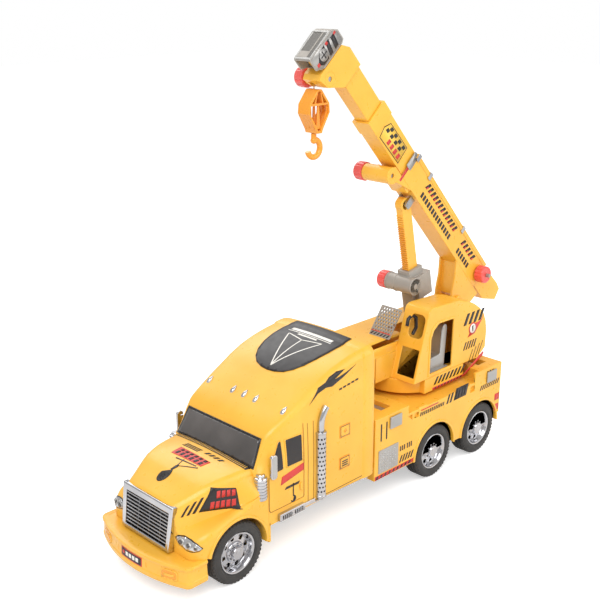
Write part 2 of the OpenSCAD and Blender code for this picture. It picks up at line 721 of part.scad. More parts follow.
module hoist_housing() color(YELLOW) boom() difference() {
    x_rod(hoist_tube_r, -hoist_tube_x, s3_w + 3.4, -hoist_u, hoist_v);
    x_rod(3 + run, -hoist_tube_x - 1, 20, -hoist_u, hoist_v);
    x_rod(6.6, -13, 6, -hoist_u, hoist_v);
    line_way();
}

// Flared slot that lets the hoist line out of the winch tube at every swing, upright at rest
module line_way() translate([line_x, -hoist_u, hoist_v]) rotate([boom_elev, 0, 0])
    x_plate(-3, 3) polygon([[-drum_r - 5, 0], [1, 0], [5, -30], [-28, -30]]);

module hoist_knob() boom() translate([0, -hoist_u, hoist_v]) {
    color(RED) translate([-hoist_tube_x - 0.4, 0, 0]) mirror([1, 0, 0]) knob(knob_r, knob_l);
    color(STEEL) x_rod(3, -hoist_tube_x - 2, 12.5);
    color(STEEL) x_rod(drum_r, -12.6, 5.6);
}

module boom_head() color(GREY) boom() difference() {
    x_plate(-head_w, head_w) polygon([
        [-s3_end - 33.3, 30], [-s3_end - 41, 18], [-s3_end - 57, 18], [-s3_end - 58, 40],
        [-s3_end - 57, 66], [-s3_end - 50, 73], [-s3_end - 36, 73], [-s3_end - 33.3, 68]
    ]);
    boom_box(head_w - wall, [s3_end + 36, s3_end + 55.5], [8, 64]);
    boom_box(9 + eps, [s3_end + 30, s3_end + 40], [30 - eps, 46 + eps]);
    x_rod(2.5, -20, 20, -head_pin_u, head_pin_v);
}

module head_pin() color(STEEL) boom() {
    x_rod(2.5, -head_w - 0.4, head_w + 0.4, -head_pin_u, head_pin_v);
}

// ---------- hook ----------

module hoist_line() color(AMBER) truck() translate([line_x, line_y, 0]) cylinder_step(line_low, hook_z, 0.7);

module hook_block() color(AMBER) truck() translate([line_x, line_y, block_low]) difference() {
    x_plate(-block_t, block_t) polygon([
        [-3, block_h], [3, block_h], [16, block_h - 16], [17, block_h - 27], [5.5, 4], [3.5, 0],
        [-3.5, 0], [-5.5, 4], [-17, block_h - 27], [-16, block_h - 16]
    ]);
    x_plate(-block_t - 1, block_t + 1) for (s = [-1, 1]) polygon([
        [s * 1.6, block_h - 8], [s * 3.4, block_h - 8], [s * 13, block_h - 18], [s * 13.5, block_h - 26], [s * 4.4, 12],
        [s * 3.4, 14], [s * 1.6, 26]
    ]);
    x_plate(-block_t + wall, block_t - wall) polygon([
        [-1.4, block_h - 4], [1.4, block_h - 4], [13.5, block_h - 17], [14, block_h - 26], [4, 9],
        [-4, 9], [-14, block_h - 26], [-13.5, block_h - 17]
    ]);
    cylinder_step(-1, 12, swivel_r + run);
}

module hook() color(AMBER) truck() translate([line_x, line_y, block_low]) {
    cylinder_step(9 + gap, 11.5, 3.4);
    cylinder_step(-7, 10, swivel_r);
    cylinder_step(-10, -0.3 - gap, 3.2);
    translate([0, 0, -hook_r - 8]) rotate([0, 90, 0]) rotate([0, 0, -75]) rotate_extrude(angle = 255)
        translate([hook_r, 0]) circle(r = hook_t);
    // closes the eye of the hook onto its stem
    translate([0, 0, -9]) sphere(r = hook_t + 0.4);
}

// ---------- output ----------

chassis();
chassis_screws();
cab_shell();
bumper();
number_plate();
grille();
headlights();
windshield();
side_windows();
marker_lights();
roof_panel();
exhaust_stacks();
mirrors();
air_cleaners();
cab_steps();
side_trims();
crane_deck();
tread_plates();
slew_pedestal();
tail_lights();
front_axle();
front_tyres();
front_rims();
middle_axle();
middle_tyres();
middle_rims();
rear_axle();
rear_tyres();
rear_rims();
outrigger_front_left();
outrigger_front_right();
outrigger_rear_left();
outrigger_rear_right();
turntable();
slew_screw();
crane_body();
cab_interior();
guard_plate();
boom_pivot_pin();
jack_trunnion();
jack_housing();
jack_rack();
jack_knob();
boom_stage_1();
boom_foot();
boom_end_rings();
jack_top_pin();
extension_housing();
extension_knob();
foot_knob();
foot_spindle();
boom_stage_2();
boom_stage_3();
boom_head();
head_pin();
hoist_housing();
hoist_knob();
hoist_line();
hook_block();
hook();
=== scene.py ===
"""Toy crane truck: the looks of every piece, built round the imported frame.

Lengths are millimetres until a piece is placed. On the truck x runs to its left side, y back from the
front axle and z up. On the boom u runs along it and v above its pivot line.
"""
import json
import math

import bmesh
import bpy
from mathutils import Matrix, Vector
from mathutils.bvhtree import BVHTree


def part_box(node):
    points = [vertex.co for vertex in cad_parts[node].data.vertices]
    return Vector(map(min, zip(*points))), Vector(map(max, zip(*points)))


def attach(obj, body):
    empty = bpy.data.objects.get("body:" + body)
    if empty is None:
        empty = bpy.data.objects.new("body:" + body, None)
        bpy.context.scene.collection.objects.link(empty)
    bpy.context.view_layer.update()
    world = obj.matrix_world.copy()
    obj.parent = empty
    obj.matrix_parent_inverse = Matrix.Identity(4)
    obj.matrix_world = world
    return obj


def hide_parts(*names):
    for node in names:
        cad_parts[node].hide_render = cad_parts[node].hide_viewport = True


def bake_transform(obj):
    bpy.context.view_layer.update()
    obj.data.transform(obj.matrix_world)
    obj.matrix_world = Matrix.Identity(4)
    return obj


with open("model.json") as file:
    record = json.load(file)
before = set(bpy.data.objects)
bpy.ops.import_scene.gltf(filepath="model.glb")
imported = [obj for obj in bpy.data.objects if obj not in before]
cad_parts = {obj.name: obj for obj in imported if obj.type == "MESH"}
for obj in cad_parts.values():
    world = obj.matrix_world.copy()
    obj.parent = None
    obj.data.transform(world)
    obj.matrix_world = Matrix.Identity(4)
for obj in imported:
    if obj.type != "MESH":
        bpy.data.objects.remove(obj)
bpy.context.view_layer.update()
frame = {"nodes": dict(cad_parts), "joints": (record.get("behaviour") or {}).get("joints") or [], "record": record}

# ---------- places ----------

MM = 0.001
X = Vector((1, 0, 0))
AXLE_Y = sum(corner.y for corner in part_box("front_axle")) / 2
JOINTS = {joint["name"]: joint for joint in frame["joints"]}
PIVOT = Vector(JOINTS["luff"]["pos_m"])
ALONG = Vector(JOINTS["middle_slide"]["axis"]).normalized()
ABOVE = ALONG.cross(X)
TRUNNION = Vector(JOINTS["jack_tilt"]["pos_m"])
RACK = Vector(JOINTS["rack_slide"]["axis"]).normalized()
BACK = RACK.cross(X)
GRILLE_TILT = math.radians(7.6)
DOWN = Vector((0, 0, -1))
HIGH = 300  # over everything on the cab
WIDE = 120  # out past everything on the sides
FAR_AHEAD = -120
WHEELS = {"front": 0, "middle": 348, "rear": 449}
HUB_Z = 37
WELL_R = 41.5
SIDES = ((1, "left"), (-1, "right"))


def truck(x, y, z):
    return Vector((x * MM, AXLE_Y + y * MM, z * MM))


def boom(x, u, v):
    return PIVOT + (X * x + ALONG * u + ABOVE * v) * MM


def jack(x, y, z):
    return TRUNNION + (X * x + BACK * y + RACK * z) * MM


def grille(x, out, up):
    """The grille's tilted plane: out of it to the front, and up it from its foot."""
    c, s = math.cos(GRILLE_TILT), math.sin(GRILLE_TILT)
    return truck(x, -66 - c * out + s * up, 51 + s * out + c * up)


# ---------- camera, light and floor ----------


LENS = 59.43
SENSOR = 36
CAMERA_AT = (797.0, -622.2, 641.9)
LOOK_FROM = (0.6717, -0.6717, 0.3123)
LOOK_UP = (-0.2208, 0.2208, 0.9500)
WORLD_LIGHT = 0.62
KEY_WATTS = 30
FILL_WATTS = 16
RIM_WATTS = 14
FLOOR_GLOW = 0.5
FLOOR_HALF = 6.0


def make_camera():
    data = bpy.data.cameras.new("camera")
    data.lens = LENS
    data.sensor_width = SENSOR
    camera = bpy.data.objects.new("camera", data)
    bpy.context.scene.collection.objects.link(camera)
    back = Vector(LOOK_FROM).normalized()
    up = Vector(LOOK_UP)
    side = up.cross(back).normalized()
    up = back.cross(side)
    turn = Matrix((side, up, back)).transposed().to_4x4()
    camera.matrix_world = Matrix.Translation(truck(*CAMERA_AT)) @ turn
    bpy.context.scene.camera = camera


def make_light(name, spot, aim, size, watts):
    data = bpy.data.lights.new(name, "AREA")
    data.size = size
    data.energy = watts
    lamp = bpy.data.objects.new(name, data)
    bpy.context.scene.collection.objects.link(lamp)
    lamp.location = spot
    lamp.rotation_euler = (Vector(spot) - Vector(aim)).to_track_quat("Z", "Y").to_euler()


def node(tree, kind, **inputs):
    """A new shader node with some inputs set; a space in an input's name is written as _."""
    made = tree.nodes.new("ShaderNode" + kind)
    for name, value in inputs.items():
        made.inputs[name.replace("_", " ")].default_value = value
    return made


def join(tree, *pairs):
    """Links outputs to inputs, given as (node, output, node, input)."""
    for start, outlet, end, inlet in pairs:
        tree.links.new(start.outputs[outlet], end.inputs[inlet])


def make_studio():
    scene = bpy.context.scene
    scene.view_settings.view_transform = "Standard"
    world = bpy.data.worlds.new("studio")
    scene.world = world
    world.use_nodes = True
    tree = world.node_tree
    tree.nodes.clear()
    output = node(tree, "OutputWorld")
    shown = node(tree, "Background", Color=(1, 1, 1, 1), Strength=1.0)
    lit = node(tree, "Background", Color=(1, 0.99, 0.97, 1), Strength=WORLD_LIGHT)
    path = node(tree, "LightPath")
    mix = node(tree, "MixShader")
    join(tree, (path, "Is Camera Ray", mix, "Fac"), (lit, "Background", mix, 1))
    join(tree, (shown, "Background", mix, 2), (mix, "Shader", output, "Surface"))
    make_light("key", (0.9, -1.3, 1.9), (0, 0, 0.2), 1.6, KEY_WATTS)
    make_light("fill", (1.6, 0.9, 1.2), (0, 0, 0.2), 1.8, FILL_WATTS)
    make_light("rim", (-1.5, 0.6, 1.7), (0, 0, 0.3), 1.4, RIM_WATTS)
    floor = bpy.data.meshes.new("floor")
    corners = [(x * FLOOR_HALF, y * FLOOR_HALF, 0) for x, y in ((-1, -1), (1, -1), (1, 1), (-1, 1))]
    floor.from_pydata(corners, [], [(0, 1, 2, 3)])
    stage = bpy.data.objects.new("floor", floor)
    scene.collection.objects.link(stage)
    pale = bpy.data.materials.new("studio_floor")
    pale.use_nodes = True
    tree = pale.node_tree
    shader = tree.nodes["Principled BSDF"]
    shader.inputs["Base Color"].default_value = (0.93, 0.93, 0.93, 1)
    shader.inputs["Roughness"].default_value = 0.7
    glow = node(tree, "Emission", Strength=FLOOR_GLOW)
    path = node(tree, "LightPath")
    add = node(tree, "AddShader")
    mix = node(tree, "MixShader")
    join(tree, (shader, "BSDF", add, 0), (glow, "Emission", add, 1), (path, "Is Camera Ray", mix, "Fac"))
    join(tree, (shader, "BSDF", mix, 1), (add, "Shader", mix, 2))
    join(tree, (mix, "Shader", tree.nodes["Material Output"], "Surface"))
    floor.materials.append(pale)


make_camera()
make_studio()

# ---------- materials ----------


def linear(code):
    """A colour written as six hexadecimal digits, as linear light."""
    values = [int(code[i : i + 2], 16) / 255 for i in (0, 2, 4)]
    return [v / 12.92 if v <= 0.04045 else ((v + 0.055) / 1.055) ** 2.4 for v in values] + [1.0]


def surface(name, colour, shade, rough, patch=22.0, grain=1400.0, bump=0.05, metal=0.0, coat=0.0):
    """Moulded or plated surface: patchy colour, patchy gloss and a fine grain."""
    skin = bpy.data.materials.new(name)
    skin.use_nodes = True
    tree = skin.node_tree
    shader = tree.nodes["Principled BSDF"]
    shader.inputs["Metallic"].default_value = metal
    shader.inputs["Coat Weight"].default_value = coat
    shader.inputs["Coat Roughness"].default_value = 0.12
    where = node(tree, "TexCoord")

    def noise(scale, detail):
        made = node(tree, "TexNoise", Scale=scale, Detail=detail)
        join(tree, (where, "Object", made, "Vector"))
        return made

    def spread(scale, detail, low, high):
        made = node(tree, "MapRange", From_Min=0.3, From_Max=0.7, To_Min=low, To_Max=high)
        join(tree, (noise(scale, detail), "Fac", made, "Value"))
        return made

    mix = node(tree, "Mix")
    mix.data_type = "RGBA"
    mix.inputs[6].default_value = linear(colour)
    mix.inputs[7].default_value = linear(shade)
    join(tree, (spread(patch, 3, 0, 1), "Result", mix, 0), (mix, 2, shader, "Base Color"))
    join(tree, (spread(patch * 6, 4, *rough), "Result", shader, "Roughness"))
    dent = node(tree, "Bump", Strength=bump, Distance=0.0002)
    join(tree, (noise(grain, 2), "Fac", dent, "Height"), (dent, "Normal", shader, "Normal"))
    return skin


YELLOW = surface("yellow_plastic", "F7BC42", "F2B338", (0.26, 0.38), coat=0.15)
AMBER = surface("amber_plastic", "F4A32F", "EC9826", (0.2, 0.32), coat=0.25)
# Painted shadow: dark colour for the carved door shut lines and the channel edges; the grooves are real, their
# darkness is painted shade
SEAM_SHADOW = surface("seam_shadow", "A8701F", "9A651B", (0.45, 0.6), bump=0.02)
ORANGE = surface("orange_inside", "F2A03A", "E8942E", (0.35, 0.5))
RED = surface("red_plastic", "F26660", "E8544E", (0.2, 0.32), coat=0.2)
GREY = surface("grey_plastic", "ABA59D", "9C968E", (0.36, 0.5), metal=0.25)
SILVER = surface("silver_paint", "B9B8B5", "A9A7A4", (0.28, 0.4), metal=0.6)
BLACK = surface("black_plastic", "1B1A1B", "242223", (0.22, 0.34), bump=0.06)
SPECKLED = surface("speckled_panel", "77746F", "55524E", (0.3, 0.5), patch=900.0, metal=0.3)
PANEL = surface("black_panel", "242021", "2B2728", (0.3, 0.42))
GLAZING = surface("smoked_glazing", "625E5D", "3C3938", (0.1, 0.2), patch=14.0, bump=0.0, coat=0.3)
CHROME = surface("silvered_plastic", "D2D2D5", "B6B6BA", (0.08, 0.2), metal=1.0, bump=0.03)
STEEL = surface("zinc_steel", "B4B4B4", "9C9C9E", (0.25, 0.4), metal=1.0)
TYRE = surface("tyre_vinyl", "3A3836", "302E2D", (0.5, 0.66), grain=2200.0, bump=0.3)
CORD = surface("braided_cord", "F0A83C", "D98F28", (0.6, 0.8), grain=3000.0, bump=0.5)
INK = surface("sticker_black", "1F1C1D", "2A2627", (0.3, 0.4), bump=0.02)
PRINT_RED = surface("sticker_red", "D9403A", "CC3530", (0.3, 0.4), bump=0.02)
PRINT_WHITE = surface("sticker_white", "F4F1EA", "E9E5DC", (0.3, 0.4), bump=0.02)
PRINT_YELLOW = surface("sticker_yellow", "F7CC55", "F0C24A", (0.3, 0.4), bump=0.02)

# ---------- shapes ----------


def span(side, near, far):
    """Two distances out to a side, lower x first."""
    return sorted((side * near, side * far))


def along(t, table):
    """A value at t on a smooth curve through (station, value) pairs."""
    if t <= table[0][0]:
        return table[0][1]
    if t >= table[-1][0]:
        return table[-1][1]
    i = max(k for k in range(len(table) - 1) if table[k][0] <= t)
    (t0, a), (t1, b) = table[i], table[i + 1]
    before = table[i - 1] if i else (2 * t0 - t1, 2 * a - b)
    after = table[i + 2] if i + 2 < len(table) else (2 * t1 - t0, 2 * b - a)
    step = t1 - t0
    slope_a = (b - before[1]) / (t1 - before[0]) * step
    slope_b = (after[1] - a) / (after[0] - t0) * step
    if (b - a) * (a - before[1]) <= 0:
        slope_a = 0
    if (b - a) * (after[1] - b) <= 0:
        slope_b = 0
    f = (t - t0) / step
    return (
        (2 * f**3 - 3 * f**2 + 1) * a
        + (f**3 - 2 * f**2 + f) * slope_a
        + (3 * f**2 - 2 * f**3) * b
        + (f**3 - f**2) * slope_b
    )


def arc(cx, cy, r, start, end, n=8):
    """Points on an arc, from one angle to another in degrees."""
    turns = [math.radians(start + (end - start) * i / n) for i in range(n + 1)]
    return [(cx + r * math.cos(t), cy + r * math.sin(t)) for t in turns]


def disc(cx, cy, r, n):
    """Points all round a circle."""
    return arc(cx, cy, r, 0, 360, n)[:-1]


def rounded(x0, y0, x1, y1, r, n=6):
    """A rectangle with round corners."""
    return (
        arc(x1 - r, y0 + r, r, -90, 0, n)
        + arc(x1 - r, y1 - r, r, 0, 90, n)
        + arc(x0 + r, y1 - r, r, 90, 180, n)
        + arc(x0 + r, y0 + r, r, 180, 270, n)
    )


def slanted(a0, b0, a1, b1, lean=0):
    """A bar from a0 to a1 whose upper edge at b1 is shifted by lean; a rectangle without it."""
    return [(a0, b0), (a1, b0), (a1 + lean, b1), (a0 + lean, b1)]


def stripes(a0, a1, b0, b1, count, lean, fill=0.5):
    """A row of slanted bars."""
    pitch = (a1 - a0) / count
    return [slanted(a0 + i * pitch, b0, a0 + (i + fill) * pitch, b1, lean) for i in range(count)]


class Shape:
    """Gathers geometry in one mesh, placed by a function, then makes it a piece."""

    AXES = {"x": lambda a, b, c: (c, a, b), "y": lambda a, b, c: (a, c, b), "z": lambda a, b, c: (a, b, c)}

    def __init__(self, place=truck):
        self.bm = bmesh.new()
        self.place = place

    def add(self, points, faces):
        corners = [self.bm.verts.new(self.place(*p)) for p in points]
        for face in faces:
            self.bm.faces.new([corners[i] for i in face])

    def skin(self, rings, joined=False):
        """Joins rings of points of one length; capped at both ends, or joined round."""
        n = len(rings[0])
        count = len(rings)
        faces = []
        for k in range(count if joined else count - 1):
            a, b = k * n, (k + 1) % count * n
            faces += [[a + i, a + (i + 1) % n, b + (i + 1) % n, b + i] for i in range(n)]
        if not joined:
            faces += [list(range(n))[::-1], list(range((count - 1) * n, count * n))]
        self.add([p for ring in rings for p in ring], faces)
        return self

    def prism(self, outline, low, high, axis="x"):
        put = self.AXES[axis]
        return self.skin([[put(a, b, c) for a, b in outline] for c in (low, high)])

    def box(self, low, high):
        return self.prism(slanted(*low[1:], *high[1:]), low[0], high[0])

    def turned(self, profile, centre, axis="x", n=48):
        """A closed profile of (radius, station) pairs turned about an axis through centre."""
        put = self.AXES[axis]
        rings = []
        for i in range(n):
            c, s = math.cos(2 * math.pi * i / n), math.sin(2 * math.pi * i / n)
            rings.append([tuple(q + w for q, w in zip(centre, put(r * c, r * s, h))) for r, h in profile])
        return self.skin(rings, joined=True)

    def rod(self, r, low, high, centre=(0, 0, 0), axis="x", n=32, edge=0.0):
        put = self.AXES[axis]
        rings = []
        ends = ((0, low), (0, high))
        if edge:
            ends = ((edge, low), (0, low + edge), (0, high - edge), (edge, high))
        for grow, h in ends:
            ring = [put((r - grow) * c, (r - grow) * s, h) for c, s in disc(0, 0, 1, n)]
            rings.append([tuple(q + w for q, w in zip(centre, p)) for p in ring])
        return self.skin(rings)

    def tube(self, path, r, n=10):
        """A round bar along a path of points in the shape's own place."""
        spots = [Vector(p) for p in path]
        rings = []
        side = None
        for i, spot in enumerate(spots):
            ahead = (spots[min(i + 1, len(spots) - 1)] - spots[max(i - 1, 0)]).normalized()
            if side is None:
                side = ahead.orthogonal().normalized()
            side = (side - ahead * side.dot(ahead)).normalized()
            other = ahead.cross(side)
            rings.append([tuple(spot + (side * c + other * s) * r) for c, s in disc(0, 0, 1, n)])
        return self.skin(rings)

    def piece(self, name, skin, body, bevel=0.0, angle=35, segments=2, replaces=()):
        bmesh.ops.remove_doubles(self.bm, verts=self.bm.verts, dist=1e-7)
        bmesh.ops.delete(self.bm, geom=[e for e in self.bm.edges if not e.link_faces], context="EDGES")
        bmesh.ops.recalc_face_normals(self.bm, faces=self.bm.faces)
        mesh = bpy.data.meshes.new(name)
        self.bm.to_mesh(mesh)
        self.bm.free()
        return settle(mesh, name, skin, body, bevel, angle, segments, replaces)


def settle(mesh, name, skin, body, bevel=0.0, angle=35, segments=2, replaces=()):
    """Makes a mesh a finished piece that rides on a body."""
    mesh.materials.clear()
    mesh.materials.append(skin)
    mesh.shade_smooth()
    mesh.set_sharp_from_angle(angle=math.radians(angle))
    piece = bpy.data.objects.new(name, mesh)
    bpy.context.scene.collection.objects.link(piece)
    if bevel:
        edge = piece.modifiers.new("edge", "BEVEL")
        edge.width = bevel * MM
        edge.segments = segments
        edge.limit_method = "ANGLE"
        edge.angle_limit = math.radians(angle)
        edge.use_clamp_overlap = False
        edge.harden_normals = True
    if body:
        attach(piece, body)
    if replaces:
        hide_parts(*replaces)
    return piece


BODY_OF = {node: body for body, nodes in frame["record"]["behaviour"]["bodies"].items() for node in nodes}
FLAT = math.radians(1.0)


def moulded(node, skin, bevel=0.5, angle=30, segments=2):
    """A CAD node with its flat faces joined and its edges rounded, which stands for it."""
    bm = bmesh.new()
    bm.from_mesh(frame["nodes"][node].data)
    bmesh.ops.remove_doubles(bm, verts=bm.verts, dist=2e-6)
    bmesh.ops.dissolve_limit(bm, angle_limit=FLAT, verts=bm.verts, edges=bm.edges)
    mesh = bpy.data.meshes.new(node + "_moulded")
    bm.to_mesh(mesh)
    bm.free()
    return settle(mesh, node + "_moulded", skin, BODY_OF[node], bevel, angle, segments, (node,))


def repaint(node, skin):
    """A CAD node that stays as it is gets a better material."""
    mesh = frame["nodes"][node].data
    mesh.materials.clear()
    mesh.materials.append(skin)


def applied(piece):
    """Bakes a piece's modifiers into its mesh."""
    bpy.context.view_layer.update()
    mesh = bpy.data.meshes.new_from_object(piece.evaluated_get(bpy.context.evaluated_depsgraph_get()))
    piece.modifiers.clear()
    piece.data = mesh


def carve(piece, cutter):
    """Takes the cutter's closed shape away from the piece."""
    mesh = bpy.data.meshes.new("cutter")
    bmesh.ops.recalc_face_normals(cutter.bm, faces=cutter.bm.faces)
    cutter.bm.to_mesh(mesh)
    cutter.bm.free()
    tool = bpy.data.objects.new("cutter", mesh)
    bpy.context.scene.collection.objects.link(tool)
    cut = piece.modifiers.new("cut", "BOOLEAN")
    cut.operation = "DIFFERENCE"
    cut.solver = "EXACT"
    cut.use_self = True
    cut.object = tool
    applied(piece)
    bpy.data.objects.remove(tool)
    piece.data.shade_smooth()
    piece.data.set_sharp_from_angle(angle=math.radians(30))


def target(*pieces):
    """What stickers are laid on: the shown surfaces of some pieces."""
    bpy.context.view_layer.update()
    depsgraph = bpy.context.evaluated_depsgraph_get()
    bm = bmesh.new()
    for piece in pieces:
        bm.from_mesh(piece.evaluated_get(depsgraph).data)
    tree = BVHTree.FromBMesh(bm)
    bm.free()
    return tree


def laid(tree, spot, towards, lift):
    """The point over a surface, met from spot along towards, lifted off it."""
    hit, normal, _, _ = tree.ray_cast(spot, towards)
    if hit is None:
        return None
    if normal.dot(towards) > 0:
        normal = -normal
    return hit + normal * lift * MM


def sticker(name, outlines, skin, body, place, tree=None, towards=None, lift=0.12, thick=0.12, fine=5.0):
    """Flat shapes printed on film. place(a, b) gives a point; with a tree they are laid on a surface."""
    bm = bmesh.new()
    for outline in outlines:
        bm.faces.new([bm.verts.new(place(a, b)) for a, b in outline])
    bmesh.ops.triangulate(bm, faces=bm.faces)
    if tree:
        for _ in range(5):
            long = [e for e in bm.edges if e.calc_length() > fine * MM]
            if not long:
                break
            bmesh.ops.subdivide_edges(bm, edges=long, cuts=1)
            bmesh.ops.triangulate(bm, faces=[f for f in bm.faces if len(f.verts) > 3])
        lost = []
        for vert in bm.verts:
            spot = laid(tree, vert.co, towards, lift)
            if spot is None:
                lost.append(vert)
            else:
                vert.co = spot
        bmesh.ops.delete(bm, geom=lost, context="VERTS")
    mesh = bpy.data.meshes.new(name)
    bm.normal_update()
    bm.to_mesh(mesh)
    bm.free()
    piece = settle(mesh, name, skin, body, 0.0, 40)
    film = piece.modifiers.new("film", "SOLIDIFY")
    film.thickness = thick * MM
    film.offset = 0.0
    return piece


def press(body, place, tag="", tree=None, towards=None, lift=0.12, thick=0.12, fine=5.0):
    """A maker of stickers that share a body and a place."""

    def lay(name, outlines, skin, lift=lift, thick=thick, fine=fine):
        return sticker(name + tag, outlines, skin, body, place, tree, towards, lift, thick, fine)

    return lay


def first(side, node):
    """The CAD node that a pair's left piece stands for; the right piece stands for none."""
    return (node,) if side > 0 else ()


def beside(side):
    """A place well out from a side of the truck, and the way from there onto it."""
    return lambda a, b: truck(side * WIDE, a, b), Vector((-side, 0, 0))


def both(make):
    """Makes something on the truck's left side and again on its right."""
    for side, tag in SIDES:
        make(side, tag)


# ---------- truck cab ----------

NOSE_Y = -59
TAIL_Y = 222.5
HALF = 80
HOOD_TOP = [
    (-59, 102.5), (-50, 106), (-40, 110), (-22, 117.5), (-5, 121.5), (10, 123), (33, 123.5), (60, 124)
]
HOOD_SHOULDER = [(-59, 43), (-50, 46.5), (-40, 50.5), (-22, 57.5), (-5, 62), (10, 64.5), (33, 67), (60, 68)]
CREASE_X = [(-59, 48), (-33, 56), (0, 68), (23, 78.5), (34, 79.6), (60, 79.6)]
CREASE_Z = [(-59, 76), (-33, 82), (0, 88), (23, 95), (34, 98), (60, 102)]
WING_X = [(-59, 66), (-56, 70), (-52, 74), (-46, 77.5), (-38, 79.6), (-30, 80), (60, 80)]
WING_Z = [(-59, 66), (-52, 72), (-42, 77), (-30, 80.5), (-7, 86), (10, 90), (23, 93), (34, 96), (60, 100)]
ROOF = [
    (33, 121), (40, 132), (51.5, 153.5), (55, 158), (62, 163.5), (83, 174.5), (107, 187), (135, 201.5),
    (160, 210.5), (190, 217), (222, 220.5),
]
ROOF_HALF = [(33, 69), (51.5, 69), (60, 72), (83, 75.5), (107, 77), (160, 78), (222, 78)]
ROOF_EDGE = [(33, 5), (51.5, 6), (62, 8), (107, 9), (160, 10), (222, 11)]
BONNET_END = 45
SILL_Z = 52
BELT = 112


def wing_section(y):
    """Half of a section through bonnet and wing, from its foot outside to the middle."""
    foot = 49 if y < 40 else 34
    wing_x, wing_z = along(y, WING_X), along(y, WING_Z)
    crease_x, crease_z = min(along(y, CREASE_X), wing_x - 0.4), along(y, CREASE_Z)
    top, shoulder = along(y, HOOD_TOP), along(y, HOOD_SHOULDER)
    r = 8 if y < 20 else max(2, 8 - (y - 20) / 4)
    r = min(r, (wing_x - crease_x) * 0.8 + 1)
    side = [(wing_x, foot + (wing_z - r - foot) * i / 3) for i in range(3)]
    side += arc(wing_x - r, wing_z - r, r, 0, 78, 6)
    side += [
        (crease_x + 0.8, crease_z - 0.5), (crease_x - 0.2, crease_z + 1.2), (crease_x - 1.0, crease_z + 4)
    ]
    edge = 9
    side += [((crease_x + shoulder) / 2, (crease_z + 4 + top - edge) / 2 + 0.6)]
    side += arc(shoulder - edge, top - edge, edge, 5, 85, 7)
    side += [((shoulder - edge) * f, top + 2.2 * (1 - f * f)) for f in (0.75, 0.5, 0.25)]
    return side + [(0, top + 2.2)]


def cab_section(y):
    """Half of a section through cab and sleeper, from its foot to the middle of the roof."""
    swell = 1.7 * max(0.0, 1 - abs((y - 212) / 9.5) ** 4)
    top, half, edge = along(y, ROOF), along(y, ROOF_HALF), along(y, ROOF_EDGE)
    belt = min(BELT, top - 8)
    rise = top - edge - belt
    base = HALF - 0.9 * min(1.0, max(0.0, (BONNET_END + 1.5 - y) / 1.5)) + swell
    side = [(base, SILL_Z + (belt - SILL_Z) * i / 4) for i in range(5)]
    side += [(base + (half + swell - base) * (i / 5) ** 1.6, belt + rise * i / 5) for i in range(1, 6)]
    side += arc(half - edge + swell, top - edge + swell * 0.6, edge, 12, 84, 8)
    crown = along(y, [(33, 1.5), (83, 2.5), (140, 4), (222, 3)])
    side += [((half - edge) * f, top + swell * 0.6 + crown * (1 - f * f)) for f in (0.8, 0.6, 0.4, 0.2)]
    return side + [(0, top + swell * 0.6 + crown)]


def mirrored(section, y):
    """The whole ring at a station, from its half."""
    return [(x, y, z) for x, z in section] + [(-x, y, z) for x, z in reversed(section[:-1])]


def stations(start, end, step, extra=()):
    count = max(1, round((end - start) / step))
    return sorted({round(start + (end - start) * i / count, 3) for i in range(count + 1)} | set(extra))


def carve_wells(piece):
    """The front wheels' round wells."""
    wells = Shape()
    for side in (1, -1):
        wells.rod(WELL_R, *span(side, 49.2, 90), (0, 0, HUB_Z), n=96)
    carve(piece, wells)


def make_cab():
    nose = Shape()
    ys = stations(NOSE_Y, BONNET_END, 3, (-58.4, -57.5, 39.9, 40.1))
    rings = []
    for y in ys:
        ring = mirrored(wing_section(y), y)
        pinch = 1 - 0.012 * max(0, (-57.4 - y))
        rings.append([(x * pinch, yy, z if z < 60 else 60 + (z - 60) * pinch) for x, yy, z in ring])
    nose.skin(rings)
    nose = nose.piece("bonnet", YELLOW, "truck", replaces=("cab_shell",))
    carve_wells(nose)
    pocket = Shape(grille)
    pocket.prism([(-41, 2), (41, 2), (42, 47), (-42, 47)], -9, 12, "y")
    carve(nose, pocket)

    cab = Shape()
    ys = stations(33, TAIL_Y, 4, (34, 36, 45, 46.5, 50, 51.5, 53, 55, 58, 202, 203, 204.5, 219.5, 221, 222))
    cab.skin([mirrored(cab_section(y), y) for y in ys])
    cab = cab.piece("cab_and_sleeper", YELLOW, "truck")
    carve_wells(cab)
    return nose, cab


bonnet, cab = make_cab()
FENDERS = target(bonnet)
SHELL = target(cab)


def on_shell(side, y, z, lift=0.0):
    """The point on the cab's side at a station and height."""
    return laid(SHELL, truck(side * WIDE, y, z), Vector((-side, 0, 0)), lift)


